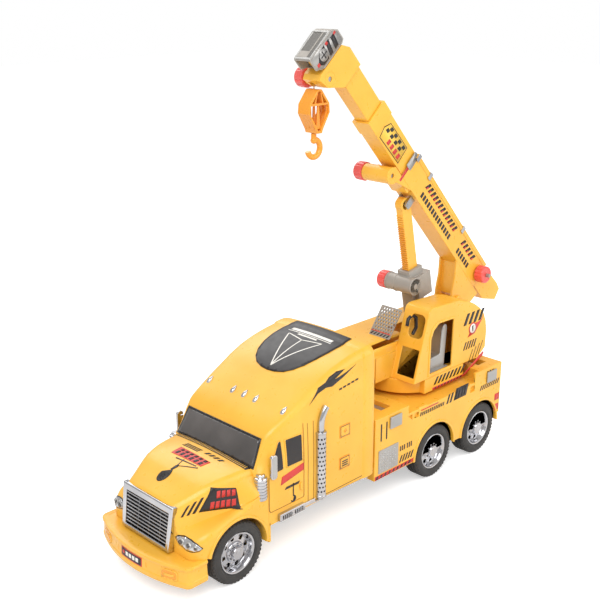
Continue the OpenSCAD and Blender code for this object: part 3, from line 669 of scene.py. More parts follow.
def engrave_doors():
    """Shut lines of the doors and the channel behind them."""
    cutter = Shape(lambda x, y, z: Vector((x, y, z)))
    for side in (1, -1):
        outline = [
            (46.2, 112), (46.2, 90), (46.2, 71), (47.2, 68.6), (49.6, 68), (74, 67.6), (98, 67),
            (100.6, 67.8), (101, 70)
        ]
        outline += [(101, z) for z in range(78, 164, 8)]
        points = []
        for (y0, z0), (y1, z1) in zip(outline, outline[1:]):
            wide, tall = y1 - y0, z1 - z0
            count = max(1, int(math.hypot(wide, tall) / 6))
            points += [(y0 + wide * i / count, z0 + tall * i / count) for i in range(count)]
        points.append(outline[-1])
        cutter.tube([tuple(on_shell(side, y, z, 0.1)) for y, z in points], 0.6 * MM, n=6)
    carve(cab, cutter)
    channel = Shape()
    for side in (1, -1):
        x0, x1 = span(side, 78.8, 90)
        for y in (107.6, 116.8):
            channel.box((x0, y, SILL_Z + 4), (x1, y + 1.1, 160))
    carve(cab, channel)
    # Dark film strips of painted shadow along the door shut lines and the channel's edges
    for side, tag in SIDES:
        out, onto = beside(side)
        shade = press("truck", out, "_" + tag, SHELL, onto, 0.12, 0.08, 4)
        lines = [
            slanted(46, 71, 46.8, 112), slanted(48.6, 67.6, 100, 68.3), slanted(101, 69, 101.8, 160)
        ]
        lines += [
            [(46, 71), (46.8, 71.4), (49, 68.3), (48.4, 67.6)],
            [(99.8, 68.3), (100.2, 67.6), (101.8, 69.6), (101, 69.8)]
        ]
        shade("door_shadow", lines, SEAM_SHADOW)
        grooves = [slanted(y, SILL_Z + 6, y + 0.9, 158) for y in (107.7, 116.9)]
        shade("channel_shadow", grooves, SEAM_SHADOW)


engrave_doors()
ONTO_FRONT = Vector((0, 0.86, -0.51))


def front_place(a, b):
    """A point well in front of the windscreen, square to its slope from x and height a, b."""
    return truck(a, 33 + (b - 121) * 0.569 - 60.2, b + 35.7)


def make_screen():
    """Windscreen, its rubber and the ribbed cowl strip under it."""

    def pane(low, high, grow):
        return [
            (-66 - grow, low - grow), (66 + grow, low - grow), (62 + grow, high + grow),
            (-62 - grow, high + grow)
        ]

    front = press("truck", front_place, "", SHELL, ONTO_FRONT, fine=6)
    front("windscreen_rubber", [pane(124, 151.5, 1.4)], BLACK, 0.25, 0.9)
    glass = front("windscreen", [pane(124.4, 151, -0.6)], GLAZING, 0.75, 0.5)
    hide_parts("windshield")
    strip = [slanted(-61.5 + i * 3.0, 0.4, -60.5 + i * 3.0, 5.4) for i in range(41)]
    below = lambda a, b: truck(a, 33.4 - b, 160)
    cowl = press("truck", below, "", FENDERS, DOWN)
    cowl("cowl_strip", [[(-63, -0.4), (63, -0.4), (61.5, 6.0), (-61.5, 6.0)]], PANEL, 0.2, 0.3)
    cowl("cowl_ribs", strip, YELLOW, 0.45, 0.2, 6)


def make_side_glass(side, tag):
    out, onto = beside(side)
    lay = press("truck", out, "_" + tag, SHELL, onto)
    panes = {
        "quarter": [
            (57.2, 117), (58, 115.6), (66.4, 115.6), (67.6, 116.8), (67.6, 147.4), (66.8, 148.4),
            (64.8, 147.4), (57.6, 134)
        ],
        "door": rounded(74.4, 116, 97.6, 148, 1.4, 3),
    }
    for name, outline in panes.items():
        cy = sum(p[0] for p in outline) / len(outline)
        cz = sum(p[1] for p in outline) / len(outline)
        border = [(cy + (a - cy) * 1.13, cz + (b - cz) * 1.06) for a, b in outline]
        lay(f"{name}_frame", [border], YELLOW, 0.3, 0.8, 5)
        glass = lay(f"{name}_glass", [outline], PANEL, 0.75, 0.3, 5)
        if name == "door" and side > 0:
            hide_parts("side_windows")


def make_grille():
    frame_width = [(0, 42), (52, 44.5)]
    half = lambda up: along(up, frame_width)
    mesh = Shape(grille)
    outer = [(-half(0), 0), (half(0), 0), (half(52), 52), (-half(52), 52)]
    inner = [(-half(4) + 6, 4.5), (half(4) - 6, 4.5), (half(44) - 6, 43.6), (-half(44) + 6, 43.6)]
    for i in range(4):
        k = (i + 1) % 4
        mesh.prism([outer[i], outer[k], inner[k], inner[i]], -6, 2.2, "y")
    mesh.piece("grille_frame", CHROME, "truck", 1.6, segments=4, replaces=("grille",))
    back = Shape(grille)
    back.prism([(-38.6, 3), (38.6, 3), (39.6, 46), (-39.6, 46)], -7.5, -5.2, "y")
    back.piece("grille_back", INK, "truck")
    slats = Shape(grille)
    for i in range(9):
        up = 6.2 + i * 4.2
        slat = [(-0.4, up), (0.0, up + 0.6), (-0.6, up + 1.5), (-3.6, up + 1.7), (-3.6, up + 0.2)]
        slats.prism(slat, -half(up) + 5.6, half(up) - 5.6)
    slats.piece("grille_slats", CHROME, "truck", 0.25)
    bars = Shape(grille)
    for x in (-19.5, 0, 19.5):
        bars.box((x - 0.5, -5.4, 4), (x + 0.5, -3.0, 44))
    bars.piece("grille_posts", CHROME, "truck", 0.15)


def almond(grow=0.0):
    """Outline of a headlamp, across the corner and up."""
    low = [(-14 - grow, 1), (-10, -3.2 - grow), (-2, -5.4 - grow), (6, -5.6 - grow), (13, -3.6 - grow)]
    top = [(16.5 + grow, -0.5), (12, 2.8 + grow), (5, 4.8 + grow), (-4, 5.8 + grow), (-11, 4.9 + grow)]
    return low + top


LAMP_BULBS = ((-7, 0.4, 4.0), (2.2, -0.3, 3.4), (9.8, -0.8, 2.4))


def make_headlamp(side, tag):
    corner = Vector((side * 0.62, -0.78, 0.1)).normalized()
    across = Vector((side * 0.78, 0.62, 0)).normalized()
    middle = truck(side * 63, -58, 66.5)

    def place(a, b):
        return middle + across * a * MM + Vector((0, 0, b * MM + -a * 0.14 * MM)) + corner * 0.05

    lay = press("truck", place, "_" + tag, FENDERS, -corner, fine=3)
    lay("headlamp_bezel", [almond(1.2)], BLACK, 0.2, 0.5)
    bowl = lay("headlamp", [almond()], CHROME, 0.8, 0.9)
    if side > 0:
        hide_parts("headlights")
    bulbs, lenses = ([disc(a, b, r * part, 18) for a, b, r in LAMP_BULBS] for part in (1, 0.55))
    lay("headlamp_reflectors", bulbs, SILVER, 1.5, 0.7)
    lay("headlamp_lenses", lenses, GLAZING, 2.0, 0.7)


def bumper_path():
    """Points of the bumper's face, with the way out, from the middle to the left end."""
    spots = []
    for i in range(25):
        turn = math.asin(74.5 / 184) * i / 24
        spots.append((184 * math.sin(turn), 96 - 184 * math.cos(turn), math.sin(turn), -math.cos(turn)))
    x, y, nx, ny = spots[-1]
    start = math.atan2(nx, -ny)
    for i in range(1, 9):
        turn = start + (math.pi / 2 - start) * i / 8
        c, s = math.cos(turn), math.sin(turn)
        spots.append((x - 9 * nx + 9 * s, y - 9 * ny - 9 * c, s, -c))
    end = spots[-1]
    return spots + [(end[0], end[1] + k, 1, 0) for k in (6, 12, 20)]


def make_bumper():
    half = bumper_path()
    path = [(-x, y, -nx, ny) for x, y, nx, ny in reversed(half[1:])] + half
    lip = [(-7, 49), (-1.6, 49), (-0.5, 48.6), (0, 47.6), (0, 45.6), (-0.4, 44.8), (-1.3, 44.2)]
    face = [
        (-1.5, 43), (-1.2, 36), (-0.9, 31), (-0.3, 30.2), (0, 29), (-0.2, 26), (-0.9, 23.6), (-2.2, 22.4),
        (-4, 22), (-7, 22)
    ]
    mesh = Shape()
    mesh.skin([[(x + nx * d, y + ny * d, z) for d, z in lip + face] for x, y, nx, ny in path])
    bumper = mesh.piece("bumper_moulding", YELLOW, "truck", replaces=("bumper",))
    shelf = Shape()
    edge = [(x - nx * 1.2, y - ny * 1.2) for x, y, nx, ny in path if y - ny * 1.2 < -45]
    shelf.prism([(edge[0][0], -44)] + edge + [(edge[-1][0], -44)], 46.2, 48.7, "z")
    shelf.piece("bumper_shelf", YELLOW, "truck", 0.3)
    slots = Shape()
    for x in (-31, -25, 25, 31):
        slots.box((x - 0.9, -92, 34), (x + 0.9, -84.6, 40))
    carve(bumper, slots)
    ahead = lambda a, b: truck(a, FAR_AHEAD, b)
    lay = press("truck", ahead, "", target(bumper), Vector((0, 1, 0)), fine=3)
    lamps = [rounded(x - 9, 31.2, x + 9, 40.6, 3.4) for x in (-56, 56)]
    rims = [rounded(x - 10.6, 29.8, x + 10.6, 42, 4.2) for x in (-56, 56)]
    lay("fog_lamp_rims", rims, YELLOW, 0.2, 0.9)
    lay("fog_lamp_wells", lamps, AMBER, 0.7, 0.3)
    lay("fog_lamp_bars", [rounded(x - 6.4, 34.4, x + 6.4, 37.6, 1.5) for x in (-56, 56)], YELLOW, 0.9, 0.8)
    lay("plate_border", [rounded(-18.6, 31.4, 18.6, 42.6, 1)], PRINT_RED, 0.15, 0.3)
    plate = lay("plate_face", [rounded(-17.4, 32.6, 17.4, 41.4, 0.6)], INK, 0.35, 0.2)
    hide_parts("number_plate")
    blocks = [rounded(a, 34.6, a + 4.4, 39.4, 0.4, 2) for a in (-9.6, -3.6, 2.4, 8.4)]
    lay("plate_blocks", blocks, PRINT_WHITE, 0.5, 0.15)
    lay("plate_badge", [disc(-13.6, 37, 2.2, 16)], PRINT_RED, 0.5, 0.15)


def make_marker_lamps():
    for i, x in enumerate((-64, -19.6, 0, 19.6, 64)):
        y = 82.5 if abs(x) < 30 else 84
        base = laid(SHELL, truck(x, y, HIGH), DOWN, 0)
        height = base.z / MM - 0.4
        mesh = Shape()
        rings = []
        for dy, w, h in (
            (-3.8, 0.8, 0.6), (-3.2, 2.2, 2.0), (-1.6, 3.0, 3.2), (0.4, 3.0, 3.6), (2.4, 2.4, 3.3),
            (4.4, 1.5, 2.8), (6.0, 0.5, 2.2)
        ):
            oval = disc(0, 0, 1, 16)
            rings.append([(x + w * c, y + dy, height + dy * 0.44 + max(-1.2, h * s)) for c, s in oval])
        mesh.skin(rings)
        stands_for = ("marker_lights",) if i == 2 else ()
        mesh.piece(f"marker_lamp_{i + 1}", CHROME, "truck", angle=60, replaces=stands_for)


def make_roof_panel():
    """The black panel on the roof, with plain white lines."""
    roof = press("truck", lambda a, b: truck(a, b, HIGH), "", SHELL, DOWN)
    half = [
        (12, 120.6), (23, 124.2), (32, 131), (39.5, 142), (44.5, 157), (47.5, 175), (48.4, 195), (46.5, 216.5)
    ]
    outline = [(0, 119.5)] + half + [(-x, y) for x, y in reversed(half)]
    panel = roof("roof_panel_film", [outline], INK, 0.5, 0.9, 5)
    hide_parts("roof_panel")

    def line(p, q, w):
        (x0, y0), (x1, y1) = p, q
        d = math.hypot(x1 - x0, y1 - y0)
        nx, ny = -(y1 - y0) / d * w / 2, (x1 - x0) / d * w / 2
        return [(x0 + nx, y0 + ny), (x0 - nx, y0 - ny), (x1 - nx, y1 - ny), (x1 + nx, y1 + ny)]

    tip, left, right, top = (0, 126), (-28, 184), (28, 184), (0, 178)
    lines = [
        line(tip, left, 1.5), line(tip, right, 1.5), line(left, top, 1.5), line(right, top, 1.5),
        line(tip, top, 1.5)
    ]
    lines += [
        line((-34, 196), (34, 196), 5.2), line((-36, 191), (36, 191), 1.3),
        line((-16, 187.4), (16, 187.4), 2.8)
    ]
    roof("roof_panel_lines", lines, PRINT_WHITE, 1.05, 0.15, 4)


def make_stack(side, tag):
    """A perforated exhaust stack with its heat shield and curved outlet."""
    x, y = side * 81, 127.5
    shield = Shape()
    shield.rod(6.6, 60, 141, (x, y, 0), "z", 40, 0.8)
    shield = shield.piece(f"stack_shield_{tag}", CHROME, "truck", replaces=first(side, "exhaust_stacks"))
    holes = Shape()
    for row in range(13):
        for k in range(-2, 3):
            turn = math.radians(k * 34 + (17 if row % 2 else 0))
            c, s = side * math.cos(turn), math.sin(turn)
            z = 67 + row * 5.6
            holes.tube([(x + c * 5.0, y + s * 5.0, z), (x + c * 8, y + s * 8, z)], 1.3, n=8)
    carve(shield, holes)
    core = Shape()
    core.rod(5.2, 58, 142, (x, y, 0), "z", 32)
    core.piece(f"stack_core_{tag}", PANEL, "truck")
    ends = Shape()
    ends.rod(3.8, 54, 62, (x, y, 0), "z", 32, 0.6)
    ends.rod(7.0, 58.5, 61.5, (x, y, 0), "z", 40, 0.6)
    ends.rod(7.0, 139.5, 142.5, (x, y, 0), "z", 40, 0.6)
    bend = [
        (x, y, 141), (x, y, 150), (x, y + 0.6, 155), (x, y + 2.4, 160.5), (x, y + 5.4, 166), (x, y + 9, 170.5)
    ]
    ends.tube(bend, 4.2, n=24)
    ends.piece(f"stack_pipe_{tag}", CHROME, "truck", angle=50)
    straps = Shape()
    for z in (74, 130):
        straps.box((min(side * 79, x), y - 2, z), (max(side * 79, x), y + 2, z + 3))
    straps.piece(f"stack_straps_{tag}", CHROME, "truck", 0.3)


def make_mirror(side, tag):
    mesh = Shape()
    x0, x1 = span(side, 81, 84.6)
    mesh.prism(rounded(46.4, 110, 55.6, 139.5, 3.4), x0, x1)
    mesh.piece(f"mirror_{tag}", CHROME, "truck", 0.9, segments=3, replaces=first(side, "mirrors"))
    arm = Shape()
    for z in (116, 134):
        start = on_shell(side, 57, z)
        arm.tube(
            [(start.x / MM - side, 57, z), (side * 79.6, 54, z + 0.6), (side * 82, 51.4, z)], 1.1, n=12
        )
    arm.piece(f"mirror_arms_{tag}", CHROME, "truck", angle=60)
    face = Shape().prism(rounded(47.6, 111.4, 54.4, 138.1, 2.6), *span(side, 84.5, 84.9))
    face.piece(f"mirror_trim_{tag}", SILVER, "truck")


def make_air_cleaner(side, tag):
    spot = (side * 75, 38, 0)
    mesh = Shape()
    profile = [(0, 87.6), (6.6, 87.6), (7.4, 88.4)]
    for i in range(6):
        z = 89.6 + i * 3.7
        profile += [(7.8, z + 0.4), (7.8, z + 2.2), (7.0, z + 2.7), (7.0, z + 3.5)]
    profile += [
        (7.8, 112.2), (7.8, 114.0), (7.0, 115.2), (5.2, 115.8), (5.2, 118.0), (4.4, 118.8), (0, 118.8)
    ]
    mesh.turned(profile, spot, "z", 40)
    mesh.piece(f"air_cleaner_{tag}", CHROME, "truck", angle=28, replaces=first(side, "air_cleaners"))


def make_steps(side, tag):
    """The bright step under the door with its dark tread windows, and the flap behind the wheel."""
    x0, x1 = span(side, 79.0, 84.6)
    mesh = Shape()
    step = [(59, 53.4), (60, 52.6), (99, 52.6), (100, 53.4), (100, 61.0), (99, 62), (60, 62), (59, 61)]
    mesh.prism(step, x0, x1)
    mesh.prism(slanted(100, 55, 118, 59.6), x0, x1 if side < 0 else 82.4)
    mesh.piece(f"step_{tag}", CHROME, "truck", 0.7, segments=3, replaces=first(side, "cab_steps"))
    place = lambda a, b: truck(side * 84.75, a, b)
    windows = [rounded(63, 54.6, 78, 59.6, 1), rounded(82, 54.6, 97, 59.6, 1)]
    sticker(f"step_windows_{tag}", windows, INK, "truck", place)
    bars = [
        rounded(a + k * 2.9, 54.4, a + 1.1 + k * 2.9, 59.8, 0.4, 2) for a in (64.6, 83.6) for k in range(5)
    ]
    sticker(f"step_bars_{tag}", bars, CHROME, "truck", lambda a, b: truck(side * 84.9, a, b))
    flap = Shape()
    x0, x1 = span(side, 62, 80)
    flap.prism(slanted(x0, 31, x1, 56), 45.2, 48.6, "y")
    flap.piece(f"wing_tail_{tag}", YELLOW, "truck", 0.8)


def make_side_trims(side, tag):
    rail = Shape()
    path = [(side * 80.2, 104 + i * 9, 54.6 - i * 0.3) for i in range(13)]
    rail.tube(path, 1.0, n=14)
    rail.piece(f"sill_rail_{tag}", CHROME, "truck", angle=60, replaces=first(side, "side_trims"))
    seam = [slanted(104, 55.9, 222, 56.5)]
    sticker(f"sill_seam_{tag}", seam, INK, "truck", lambda a, b: truck(side * 80.15, a, b))
    out, onto = beside(side)
    lay = press("truck", out, "_" + tag, SHELL, onto)
    for k, z in enumerate((79, 120.5)):
        hatch = press("truck", out, f"_{tag}_{k}", SHELL, onto)
        hatch("hatch_frame", [rounded(161, z, 179, z + 16, 1)], AMBER, 0.3, 0.7, 5)
        hatch("hatch_line", [rounded(162.2, z + 1.2, 177.8, z + 14.8, 0.8)], INK, 0.66, 0.15, 5)
        hatch("hatch_face", [rounded(163, z + 2, 177, z + 14, 0.6)], YELLOW, 0.7, 0.4, 5)
    vent = [rounded(165, 82.6 + i * 2.8, 175, 84.2 + i * 2.8, 0.4, 2) for i in range(3)]
    lay("hatch_vent", vent, INK, 0.95, 0.2, 5)
    lay("hatch_catch", [disc(170, 128.5, 2.4, 18)], AMBER, 1.0, 0.5, 5)


make_screen()
both(make_side_glass)
make_grille()
both(make_headlamp)
make_bumper()
make_marker_lamps()
make_roof_panel()
for maker in (make_stack, make_mirror, make_air_cleaner, make_steps, make_side_trims):
    both(maker)

# ---------- wheels ----------

LUG_FACES = [(0, 1, 3, 2), (4, 6, 7, 5), (0, 4, 5, 1), (2, 3, 7, 6), (0, 2, 6, 4), (1, 5, 7, 3)]
LUG_COUNT = 44


def make_wheel(axle, y, side, tag):
    """A tyre with shoulder lugs and a chrome rim with hand holes, hub and nuts."""
    centre = (0, y, HUB_Z)
    inner, outer = side * 56, side * 80
    h = lambda d: inner + (outer - inner) * d / 24
    body = f"{axle}_wheels"
    tyre = Shape()
    profile = [(22.8, 0.4), (26, -0.0), (31, 0.2), (34.6, 1.2), (36.0, 2.8)]
    for g in (6.2, 12, 17.8):
        profile += [
            (36.6, g - 2.4), (36.7, g - 0.7), (35.6, g - 0.5), (35.6, g + 0.5), (36.7, g + 0.7),
            (36.6, g + 2.4)
        ]
    profile += [
        (36.0, 21.2), (34.6, 22.8), (33.2, 23.3), (32.8, 23.0), (32.2, 23.3), (29, 23.9), (27.4, 23.8),
        (27.0, 23.4), (25.6, 23.2), (24.8, 21.4), (22.8, 21)
    ]
    tyre.turned([(r, h(d)) for r, d in profile], centre, n=96)
    tyre.piece(f"{axle}_tyre_{tag}", TYRE, body, angle=40, replaces=first(side, f"{axle}_tyres"))
    lugs = Shape()
    for i in range(LUG_COUNT):
        turn = 2 * math.pi * i / LUG_COUNT
        for d0, d1, shift in ((20.2, 23.0, 0.0), (1.0, 3.8, 0.5)):
            t0 = turn + shift * math.pi / LUG_COUNT
            ring = []
            for d in (d0, d1):
                for r, w in ((34.4, 0.045), (36.9 if 2 < d < 22 else 35.6, 0.034)):
                    for a in (t0 - w, t0 + w):
                        ring.append((h(d), y + r * math.cos(a), HUB_Z + r * math.sin(a)))
            lugs.add(ring, LUG_FACES)
    lugs.piece(f"{axle}_tread_{tag}", TYRE, body, 0.25)
    rim = Shape()
    dish = [
        (2.6, 3), (9, 3), (9, 11), (19.5, 13), (21, 1.6), (23, 1.4), (23.4, 20.4), (24.6, 20.8), (24.9, 21.8),
        (24.2, 22.6), (22.6, 22.2), (21.4, 20.4), (20.8, 17.4), (19.4, 15.6), (12.4, 16.6), (11.8, 18.2),
        (10.9, 19.0), (8.2, 19.4), (7.9, 22.2), (7.2, 23.4), (3.0, 23.9), (2.6, 23.9),
    ]
    rim.turned([(r, h(d)) for r, d in dish], centre, n=80)
    rim = rim.piece(f"{axle}_rim_{tag}", CHROME, body, angle=32, replaces=first(side, f"{axle}_rims"))
    holes = Shape()
    for i in range(8):
        turn = math.radians(i * 45 + 10)
        hole = []
        for r, a in ((14.2, -8.5), (18.9, -10.5), (19.6, 0), (18.9, 10.5), (14.2, 8.5), (13.6, 0)):
            t = turn + math.radians(a)
            hole.append((y + r * math.cos(t), HUB_Z + r * math.sin(t)))
        holes.prism(hole, *sorted((h(6), h(22))))
    carve(rim, holes)
    nuts = Shape()
    for i in range(10):
        turn = math.radians(i * 36)
        spot = (0, y + 9.7 * math.cos(turn), HUB_Z + 9.7 * math.sin(turn))
        nuts.rod(1.05, *sorted((h(18.6), h(20.8))), spot, n=6, edge=0.2)
    nuts.rod(4.4, *sorted((h(23.6), h(24.0))), centre, n=32, edge=0.2)
    nuts.piece(f"{axle}_nuts_{tag}", CHROME, body)


for axle, station in WHEELS.items():
    both(lambda side, tag: make_wheel(axle, station, side, tag))
    repaint(f"{axle}_axle", STEEL)


LIP = ((41.4, -3), (41.4, 0.9), (42.0, 1.4), (43.2, 1.4), (44.2, 0.9), (44.8, 0), (44.8, -3))
LIP_END = {"front": 163, "middle": 180, "rear": 180}


def make_arch_lips():
    """Raised edges round the wheel arches."""
    for name, y in WHEELS.items():
        for side, tag in SIDES:
            lip = Shape()
            rings = []
            for c, s in arc(0, 0, 1, 0, LIP_END[name], 48):
                out = side * 80
                rings.append([(out + side * w, y + r * c, HUB_Z + r * s) for r, w in LIP])
            lip.skin(rings)
            lip.piece(f"arch_lip_{name}_{tag}", YELLOW, "truck", angle=50)


make_arch_lips()

# ---------- rear body ----------


def make_deck():
    moulded("crane_deck", YELLOW, 0.7, 30)
    moulded("chassis", BLACK, 0.5)
    moulded("chassis_screws", STEEL, 0.2)
    moulded("slew_pedestal", AMBER, 0.4)
    moulded("tail_lights", RED, 0.5)
    for node in ("front_left", "front_right", "rear_left", "rear_right"):
        moulded("outrigger_" + node, SILVER, 0.8)


def tread_bars(y0, y1, z0, z1):
    """Short raised bars, alternately leaning, as on tread plate."""
    bars = []
    pitch = 4.6
    rows = int((z1 - z0 - 3) / pitch)
    columns = int((y1 - y0 - 3) / pitch)
    for i in range(columns):
        for k in range(rows):
            cy, cz = y0 + 3.6 + i * pitch, z0 + 3.6 + k * pitch
            turn = math.radians(45 if (i + k) % 2 else -45)
            c, s = math.cos(turn), math.sin(turn)
            bar = [(-1.9, 0), (-0.8, -0.5), (0.8, -0.5), (1.9, 0), (0.8, 0.5), (-0.8, 0.5)]
            bars.append([(cy + a * c - b * s, cz + a * s + b * c) for a, b in bar])
    return bars


def make_deck_sides(side, tag):
    place = lambda d: (lambda a, b: truck(side * (80 + d), a, b))
    plate = Shape()
    plate.prism(rounded(233, 46, 271, 78, 0.8), *span(side, 79.9, 80.9))
    plate.piece(f"tread_plate_{tag}", SILVER, "truck", 0.2, replaces=first(side, "tread_plates"))
    bars = Shape()
    for outline in tread_bars(233, 271, 46, 78):
        bars.prism(outline, *span(side, 80.8, 81.3))
    bars.piece(f"tread_bars_{tag}", CHROME, "truck", 0.15)
    strip, over = (press("truck", place(lift), "_" + tag) for lift in (0.15, 0.32))
    strip("deck_red_strip", [slanted(227, 38.6, 303.4, 44)], PRINT_RED)
    dashes = [slanted(a, 39.4, a + 3.4, 43.2, 1.6) for a in range(229, 300, 8)]
    over("deck_red_dashes", dashes, INK)
    strip("deck_hazard", stripes(274, 302, 47, 56, 5, 4.4, 0.52), INK)
    bars_low = [rounded(a, 63, a + 2.2, 70, 0.2, 2) for a in (275, 279, 283, 289, 293, 297)]
    strip("deck_bar_marks", bars_low, INK)
    marks = [slanted(a, 99, a + 2.4, 104, 1.2) for a in range(314, 364, 4)]
    strip("deck_rail_marks", marks, INK)
    strip("deck_rail_rule", [slanted(316, 106, 352, 107.6, 0.3)], PRINT_RED)
    bands = [slanted(370, 98.4, 373.6, 111.4, 5), slanted(377, 98.4, 381, 111.4, 5)]
    strip("deck_rail_bands", bands, INK)
    strip("deck_rail_block", [slanted(386, 98.6, 414, 115, 5)], INK)
    shade = [slanted(a, 101, a + 2.6, 112.6, 3) for a in range(391, 412, 6)]
    over("deck_rail_block_lines", shade, PANEL)
    chevrons = [
        [(a, 112), (a + 2.4, 112), (a + 5, 115.5), (a + 2.4, 119), (a, 119), (a + 2.6, 115.5)]
        for a in (462, 468, 474)
    ]
    strip("block_chevrons", chevrons, INK)
    strip("block_stripes", stripes(446, 492, 94, 101, 9, 4, 0.5), INK)
    strip("block_red", [slanted(484, 52, 495, 62), slanted(484, 68, 495, 78)], PRINT_RED)
    slots = [rounded(236.2, 90, 238.6, 114, 1.1, 4), rounded(246.4, 90, 248.8, 114, 1.1, 4)]
    strip("block_slots", slots, INK)


make_deck()
both(make_deck_sides)

# ---------- slewing crane ----------


def make_crane_base():
    moulded("turntable", YELLOW, 1.0)
    moulded("crane_body", YELLOW, 1.1, 28, segments=3)
    moulded("guard_plate", GREY, 0.25)
    for node in ("slew_screw", "boom_pivot_pin", "jack_trunnion"):
        repaint(node, STEEL)


def make_crane_stickers():
    layer = lambda x: press("superstructure", lambda a, b: truck(x, a, b))
    side, over, upper, top = (layer(x) for x in (62.15, 62.3, 62.45, 62.6))
    side("cab_red_strip", [slanted(362, 115.6, 432, 119.2)], PRINT_RED)
    rising = [(432, 115.6), (474, 134.4), (477, 139), (474, 141), (432, 119.2)]
    side("cab_red_rising", [rising], PRINT_RED)
    over("cab_red_dashes", [slanted(a, 116.4, a + 3.4, 118.6, 1.4) for a in range(366, 428, 7)], INK)
    side("cab_hazard", stripes(364, 431, 122.4, 132.4, 8, 7, 0.52), INK)
    side("shell_stripes", stripes(425, 470, 190, 206, 4, 8, 0.56), INK)
    flash = [(436, 171), (452, 173.6), (468, 190), (476, 199), (466, 189.6), (448, 187)]
    side("shell_flash", [flash], PRINT_RED)
    over("shell_roundel_rim", [disc(446.7, 182, 8.6, 36)], PRINT_RED)
    upper("shell_roundel", [disc(446.7, 182, 6.6, 36)], PRINT_WHITE)
    digit = [
        (445.8, 178), (447.8, 178), (447.8, 186.4), (446.2, 186.4), (444.5, 184.8), (445.3, 183.9),
        (445.8, 184.2)
    ]
    top("shell_roundel_digit", [digit], INK)
    side("shell_vents", stripes(427, 456, 154, 165, 5, 5, 0.5), INK)
    scratches = [
        [(a, 132 + i * 2.4), (a + 1.4, 132 + i * 2.4), (a + 10, 150 + i * 2.4), (a + 9.4, 151 + i * 2.4)]
        for i, a in enumerate((440, 448, 456, 463))
    ]
    over("shell_scratches", scratches, INK)
    wide = 3.4
    outline = ((354, 141), (401, 141), (402, 207), (370, 208), (359, 200), (354.5, 189))
    cy, cz = sum(y for y, z in outline) / len(outline), sum(z for y, z in outline) / len(outline)
    grown = [(y + math.copysign(wide, y - cy), z + math.copysign(wide, z - cz)) for y, z in outline]
    rim = Shape()
    loops = ((outline, 60.6), (outline, 63.0), (grown, 63.0), (grown, 60.6))
    rim.skin([[(x, y, z) for y, z in loop] for loop, x in loops], joined=True)
    rim.piece("crane_door_rim", YELLOW, "superstructure", 0.9, segments=3)
    tray = Shape()
    tray.prism(rounded(330.6, 135, 398, 141, 1.2), 25.2, 59)
    tray.prism(rounded(333, 139, 352, 147, 1.4), 27, 40)
    tray.piece("crane_cab_tray", SILVER, "superstructure", 0.8, replaces=("cab_interior",))
    seat = Shape()
    for x0, x1, grow in ((30, 53.6, 0), (53, 55.4, 1.6)):
        seat.prism(
            [(366 - grow, 140), (394, 140), (398, 194), (396, 198 + grow), (391, 198 + grow),
            (388 - grow, 192), (386 - grow, 158 + grow), (366 - grow, 156 + grow)], x0, x1
        )
    seat.piece("crane_seat", SILVER, "superstructure", 1.3, segments=3)
    lever = Shape()
    lever.tube([(36, 346, 140), (36, 347, 160), (36, 350, 166)], 1.7, n=16)
    lever.tube(
        [(33, 340, 205), (33, 342, 214), (33, 350, 218), (33, 358, 212), (33, 359, 198), (33, 352, 190)],
        2.4, n=16
    )
    lever.piece("crane_levers", PANEL, "superstructure", angle=60)
    lean = math.radians(36)
    down, out = Vector((0, -math.sin(lean), -math.cos(lean))), Vector((0, -math.cos(lean), math.sin(lean)))
    foot = truck(0, 318, 187)

    def plate(a, b):
        return foot + X * a * MM - down * b * MM + out * 1.2 * MM

    guard = press("superstructure", plate)
    hazard = [
        [(max(-12.6, min(20.6, a)), b) for a, b in bar] for bar in stripes(-12, 20, 2.2, 6.2, 6, 3, 0.5)
    ]
    guard("guard_hazard", hazard, INK)
    guard("guard_red", [slanted(-12.6, 6.8, 20.6, 8.0)], PRINT_RED)


KNOB_R = 12.2
EXTENSION_PIN = (249, 25)
FOOT_PIN = (-8, 56)
HOIST_PIN = (419, 27)


def knob(name, body, place, x_face, x_end, replaces=()):
    """A red knob with round flutes, open at x_face and domed at x_end."""
    mesh = Shape(place)
    length = abs(x_end - x_face)
    way = 1 if x_end > x_face else -1
    rings = []
    flutes, n = 12, 96
    for depth, shrink, wave in (
        (0, 0.9, 0.55), (0.7, 0, 1), (length - 3.4, 0, 1), (length - 1.8, 0.3, 0.5),
        (length - 0.7, 1.1, 0.1), (length, 2.3, 0)
    ):
        ring = []
        for i in range(n):
            turn = 2 * math.pi * i / n
            groove = max(0.0, math.cos(flutes * turn)) ** 3
            rad = KNOB_R - shrink - 0.95 * groove * wave
            ring.append((x_face + way * depth, rad * math.cos(turn), rad * math.sin(turn)))
        rings.append(ring)
    rings.append([(x_face + way * length, c, s) for c, s in disc(0, 0, KNOB_R - 3.6, n)])
    rings.append([(x_face + way * (length - 0.8), c, s) for c, s in disc(0, 0, KNOB_R - 4.4, n)])
    mesh.skin(rings)
    mesh.piece(name, RED, body, angle=45, replaces=replaces)


def at_pin(u, v):
    """A place with its origin on a cross axis of the boom."""
    return lambda x, y, z: boom(x, u - y, v + z)


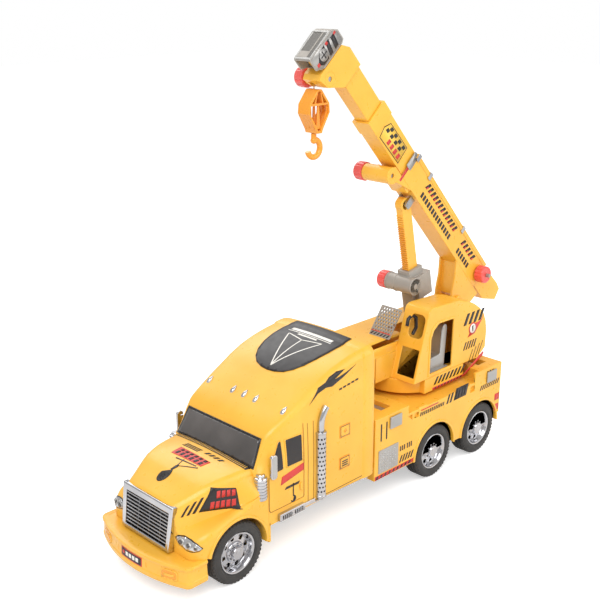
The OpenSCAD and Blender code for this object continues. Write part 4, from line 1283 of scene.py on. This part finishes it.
def make_jack():
    moulded("jack_housing", GREY, 0.7)
    moulded("jack_rack", YELLOW, 0.35)
    drive = lambda x, y, z: jack(x, y - 15, z + 104)
    knob("jack_knob_cap", "jack_drive", drive, -25.4, -39.4)
    shaft = Shape(drive)
    shaft.rod(3, -27, 19.4)
    shaft.rod(5, -7.6, 7.6)
    shaft.piece("jack_knob_shaft", STEEL, "jack_drive", 0.2, replaces=("jack_knob",))
    collar = Shape(drive)
    for low, high in ((-25, -22.6), (-10.4, -8.8), (17.6, 20)):
        collar.rod(KNOB_R, low, high, edge=0.5)
    collar.piece("jack_tube_collars", GREY, "jack")
    teeth = [rounded(-5.2, z + 0.1, 5.2, z + 1.5, 0.2, 2) for z in [64 + 3.2 * i for i in range(38)]]
    sticker("jack_teeth_faces", teeth, ORANGE, "rack", lambda a, b: jack(a, -9.62, b))


def make_boom():
    moulded("boom_stage_1", YELLOW, 0.6)
    moulded("boom_foot", YELLOW, 0.5)
    moulded("boom_end_rings", CHROME, 0.3)
    for node in ("extension_housing", "boom_stage_2", "boom_stage_3"):
        moulded(node, YELLOW, 0.5)
    moulded("boom_head", GREY, 0.7)
    moulded("hoist_housing", YELLOW, 0.4)
    for node in ("jack_top_pin", "head_pin"):
        repaint(node, STEEL)
    repaint("foot_spindle", GREY)
    knob("extension_knob_cap", "extension_drive", at_pin(*EXTENSION_PIN), -28.4, -42.4)
    knob("foot_knob_cap", "foot_drive", at_pin(*FOOT_PIN), 16.4, 30.4, ("foot_knob",))
    knob("hoist_knob_cap", "hoist_drive", at_pin(*HOIST_PIN), -20.4, -34.4)
    shaft = Shape(at_pin(*EXTENSION_PIN))
    shaft.rod(3, -30, 13)
    shaft.rod(5.4, -8.6, 8.6)
    shaft.piece("extension_shaft", STEEL, "extension_drive", 0.2, replaces=("extension_knob",))
    shaft = Shape(at_pin(*HOIST_PIN))
    shaft.rod(3, -22, 12.5)
    shaft.rod(4.5, -12.6, 5.6)
    shaft.piece("hoist_shaft", STEEL, "hoist_drive", 0.2, replaces=("hoist_knob",))
    boss = Shape(at_pin(*FOOT_PIN))
    boss.rod(5.5, 15.5, 16.6)
    boss.piece("foot_knob_boss", RED, "foot_drive", 0.2)


def boom_stickers():
    for side, tag in SIDES:
        flat = lambda body, x, **rest: press(body, lambda a, b: boom(side * x, a, b), "_" + tag, **rest)
        stage_1, stage_1_over = (flat("boom", x) for x in (15.15, 15.32))
        for part, low, high in (("a", 90, 190), ("b", 22, 66)):
            count = round((high - low) / 8.3)
            stage_1(f"boom_stripes_{part}", stripes(low, high, 57.5, 67.5, count, -5, 0.6), INK)
            dashes = stripes(low, high, 57.5, 62, count, -2.2, 0.3)
            stage_1_over(f"boom_dashes_{part}", dashes, PRINT_RED)
            marks = [rounded(a, 43, a + 4.6, 51, 0.6, 2) for a in range(low, high - 2, 7)]
            stage_1(f"boom_marks_{part}", marks, INK)
        stage_1("boom_mouth_slot", [rounded(231.6, 30, 235.4, 52, 1.2, 3)], PRINT_RED)
        clip = [rounded(227.6, 51, 238.4, 74.4, 1.6, 4)]
        stage_1("boom_mouth_clip", clip, SILVER, thick=0.6)
        stage_2, plate_2, print_2 = (flat("middle_section", x, thick=0.06) for x in (12.77, 12.82, 12.87))
        stage_2("boom2_frame", [[(251, 43), (303, 41), (306, 56), (300, 67), (252, 68)]], INK)
        plate = [[(252, 44), (302.2, 42.1), (304.8, 55.4), (299.4, 66), (253, 67)]]
        plate_2("boom2_plate", plate, PRINT_YELLOW)
        spots = [(start + 11.4 * i, b) for start, b in ((256, 60.4), (261, 54.6)) for i in range(4)]
        checks = [slanted(a, b, a + 6, b + 5.2, -1.6) for a, b in spots]
        print_2("boom2_black", checks, INK)
        bars = [slanted(a, 45, a + 5.4, 52.6, -1.2) for a in range(256, 292, 9)]
        print_2("boom2_bars", bars, PRINT_RED)
        head, head_print, head_mark, head_line = (
            flat("inner_section", x) for x in (12.92, 13.06, 13.2, 13.34)
        )
        panel = [(436, 25), (441, 19.6), (456, 19.6), (456.8, 40), (456, 64), (450, 71), (437, 71), (435, 66)]
        head("head_plate", [panel], SILVER)
        blocks = [
            [(437, 56), (453, 58), (452.6, 65), (437.6, 62.6)],
            [(437, 45), (454, 48), (454, 54.6), (437, 51)],
            [(437, 31), (443, 25), (452.6, 33), (454, 44.6), (437, 42)]
        ]
        head_print("head_blocks", blocks, INK)
        ring = disc(446, 38, 7.2, 32)
        head_mark("head_roundel", [ring], SILVER)
        spokes = [
            slanted(445.2, 32.4, 446.8, 37.2), slanted(445.2, 38.8, 446.8, 43.6),
            slanted(440.4, 37.2, 451.6, 38.8)
        ]
        head_line("head_spokes", spokes, INK)
        reds = [
            rounded(441, 22.4, 445, 27, 0.3, 2), rounded(450.6, 47, 454.4, 51, 0.3, 2),
            rounded(450.6, 64, 453.6, 68, 0.3, 2)
        ]
        head_mark("head_red_marks", reds, PRINT_RED)


def make_head_face():
    """The ribbed dark face at the boom's very end, in its light frame."""
    frame_bars = Shape(boom)
    for x0, x1, v0, v1 in (
        (-12.6, 12.6, 60, 63), (-12.6, 12.6, 19, 22), (-12.6, -10.2, 22, 60), (10.2, 12.6, 22, 60)
    ):
        frame_bars.box((x0, 456.4, v0), (x1, 458.3, v1))
    frame_bars.piece("head_face_frame", SILVER, "inner_section", 0.4)
    face = Shape(boom)
    face.box((-10.4, 456.6, 21.8), (10.4, 458.1, 60.2))
    face.piece("head_face", SPECKLED, "inner_section")
    ribs = Shape(boom)
    ribs.box((3.4, 457.2, 22), (5.4, 458.3, 60))
    ribs.box((-10, 457.2, 22), (5, 458.4, 31))
    ribs.piece("head_face_ribs", GREY, "inner_section", 0.3)


def block_outline(inset):
    """The block's outline across the truck's length, drawn in by an inset."""
    half = [(3.4, 50), (16, 34), (17, 23), (5.6, 4), (4.2, 0)]
    right = [(y - inset * 0.98, z - inset * (1.1 if z > 30 else -1.5 if z < 5 else 0)) for y, z in half]
    return right + [(-y, z) for y, z in reversed(right)]


def extent(node):
    """The lowest and highest corners of a CAD node."""
    spots = [corner.co for corner in frame["nodes"][node].data.vertices]
    return [Vector([pick(spot[i] for spot in spots) for i in range(3)]) for pick in (min, max)]


def make_hook():
    low, high = extent("hook_block")
    half = (high.x - low.x) / 2 / MM
    foot = Vector(((low.x + high.x) / 2, (low.y + high.y) / 2, low.z))
    place = lambda x, y, z: foot + Vector((x, y, z)) * MM
    cage = Shape(place)
    outer, inner = block_outline(0), block_outline(1.9)
    loops = ((outer, -half), (outer, half), (inner, half), (inner, -half))
    cage.skin([[(x, y, z) for y, z in outline] for outline, x in loops], joined=True)
    cage.piece("hook_block_frame", AMBER, "block", 0.5, replaces=("hook_block",))
    fins = Shape(place)
    rib = [(15.2, 24.6), (14.4, 31.6), (12.6, 31.6), (13.2, 24.8), (5.2, 7), (5.2, 4), (7.4, 5.6)]
    for x in (-6.6, 0, 6.6):
        for sign in (-1, 1):
            fins.prism([(sign * y, z) for y, z in rib], x - 0.8, x + 0.8)
        fins.prism([(-1.4, 33), (-2.6, 12), (-4.4, 5), (4.4, 5), (2.6, 12), (1.4, 33)], x - 0.7, x + 0.7)
    fins.box((-half + 0.4, -14.6, 32), (half - 0.4, 14.6, 34.4))
    for y in (-6.4, 6.4):
        brace = [(y - 1, 34), (y + 1, 34), (y * 0.45 + 0.6, 46), (y * 0.45 - 0.6, 46)]
        fins.prism(brace, -half + 0.8, half - 0.8)
    fins.piece("hook_block_fins", ORANGE, "block", 0.25)
    moulded("hook", AMBER, 0.3)
    low, high = extent("hoist_line")
    middle = (low + high) / 2
    rows = [i / 16 for i in range(17)]
    radius = (high.x - low.x) / 2
    drop = high.z - low.z
    line = Shape(lambda x, y, z: Vector((middle.x + x * radius, middle.y + y * radius, low.z + drop * z)))
    line.skin([[(c, s, z) for c, s in disc(0, 0, 1, 12)] for z in rows])
    line = line.piece("hoist_cord", CORD, None, angle=60, replaces=("hoist_line",))
    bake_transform(line)


make_crane_base()
make_crane_stickers()
make_jack()
make_boom()
boom_stickers()
make_head_face()
make_hook()

# ---------- stickers on the cab ----------


def make_cab_stickers():
    above = lambda a, b: truck(a, b, HIGH)
    bonnet = press("truck", above, "", FENDERS, DOWN, 0.25, 0.12, 3)
    bonnet("bonnet_block", [[(-28.6, -4.6), (22.6, -3.4), (25, 9), (-29, 10.4)]], PRINT_RED)
    bars = [slanted(-25 + i * 8, -2.2, -20.6 + i * 8, 3.2, 1) for i in range(6)]
    bars += [slanted(-24 + i * 8, 4.6, -19 + i * 8, 8.2, 1) for i in range(6)]
    bonnet("bonnet_block_bars", bars, INK, 0.4)
    bonnet("bonnet_stripes", stripes(3, 33, 17.6, 22.4, 4, 4, 0.55), INK)
    rules = [slanted(-33 + i, 14.6 + i * 2.6, -6 + i, 16.0 + i * 2.6, 1) for i in range(3)]
    bonnet("bonnet_stripes_b", rules, INK)
    hook = arc(-4.6, 0, 7.2, -190, 60, 20) + list(reversed(arc(-4.6, 0, 4.9, -190, 60, 20)))
    hook = [(x, -33 + y * 1.4) for x, y in hook]
    block = [(-4.4, -25), (-1.4, -25.2), (1.2, -19), (-0.6, -15.6), (-3.4, -17.4)]
    ropes = [
        [(-2.6, -17), (-1.4, -17), (-3.2, -5.4), (-4.4, -5.4)],
        [(-1.6, -17), (-0.4, -17.6), (22.4, -8), (22, -6.4)],
        [(-15, -9.4), (18, -6.8), (18, -5.4), (-15, -7.6)]
    ]
    bonnet("bonnet_hook", [hook, block] + ropes, INK)
    for side, tag in SIDES:
        out, onto = beside(side)
        wing, wall = (press("truck", out, "_" + tag, tree, onto, 0.25, 0.12, 4) for tree in (FENDERS, SHELL))
        wing("wing_block", [[(-34, 92), (9, 87.6), (9.4, 109.4), (-17.6, 116.4)]], INK)
        bands = [
            [(-41, 91.6), (-37.6, 91.8), (-26.6, 108), (-29.6, 107.6)],
            [(-47, 91), (-44, 91.2), (-34, 105), (-36.8, 104.6)],
            [(-53, 90.4), (-50.4, 90.6), (-41.6, 102), (-44, 101.6)],
        ]
        wing("wing_bands", bands, INK)
        marks = [
            slanted(-14 + i * 5.6, 103.6 - i * 0.5, -9.8 + i * 5.6, 111.4 - i * 0.9, 1.4) for i in range(4)
        ]
        marks += [
            slanted(-22 + i * 5.8, 92.6 - i * 0.5, -17.6 + i * 5.8, 100.6 - i * 0.5, 1.4) for i in range(5)
        ]
        wing("wing_red", marks, PRINT_RED, 0.4)
        door = [[(64, 96), (101, 103), (101, 112), (66, 106)]]
        wall("door_block", door, PRINT_RED)
        hook = arc(84, 72, 4.4, -160, 100, 16) + list(reversed(arc(84, 72, 2.8, -160, 100, 16)))
        wall("door_hook", [hook, slanted(83.2, 76, 84.8, 92), slanted(70, 88, 92, 91, 3)], INK)
        wall("door_handle", [rounded(94.5, 78, 98, 88, 1.4, 4)], YELLOW, 0.7, 1.0, 3)
        flame = [
            (112, 178), (126, 188.4), (139, 192), (149, 190.6), (157, 193.4), (168, 197), (191, 207),
            (174, 202), (162, 199.4), (153, 198), (160, 203), (171, 206), (158, 206), (146, 202.4),
            (139, 198), (128, 194.4)
        ]
        wall("sleeper_flame", [flame], INK)
        dashes = [slanted(160 + i * 7, 182.4 + i * 0.9, 165 + i * 7, 184.6 + i * 0.9, 1) for i in range(5)]
        wall("sleeper_dashes", dashes, INK)


make_cab_stickers()
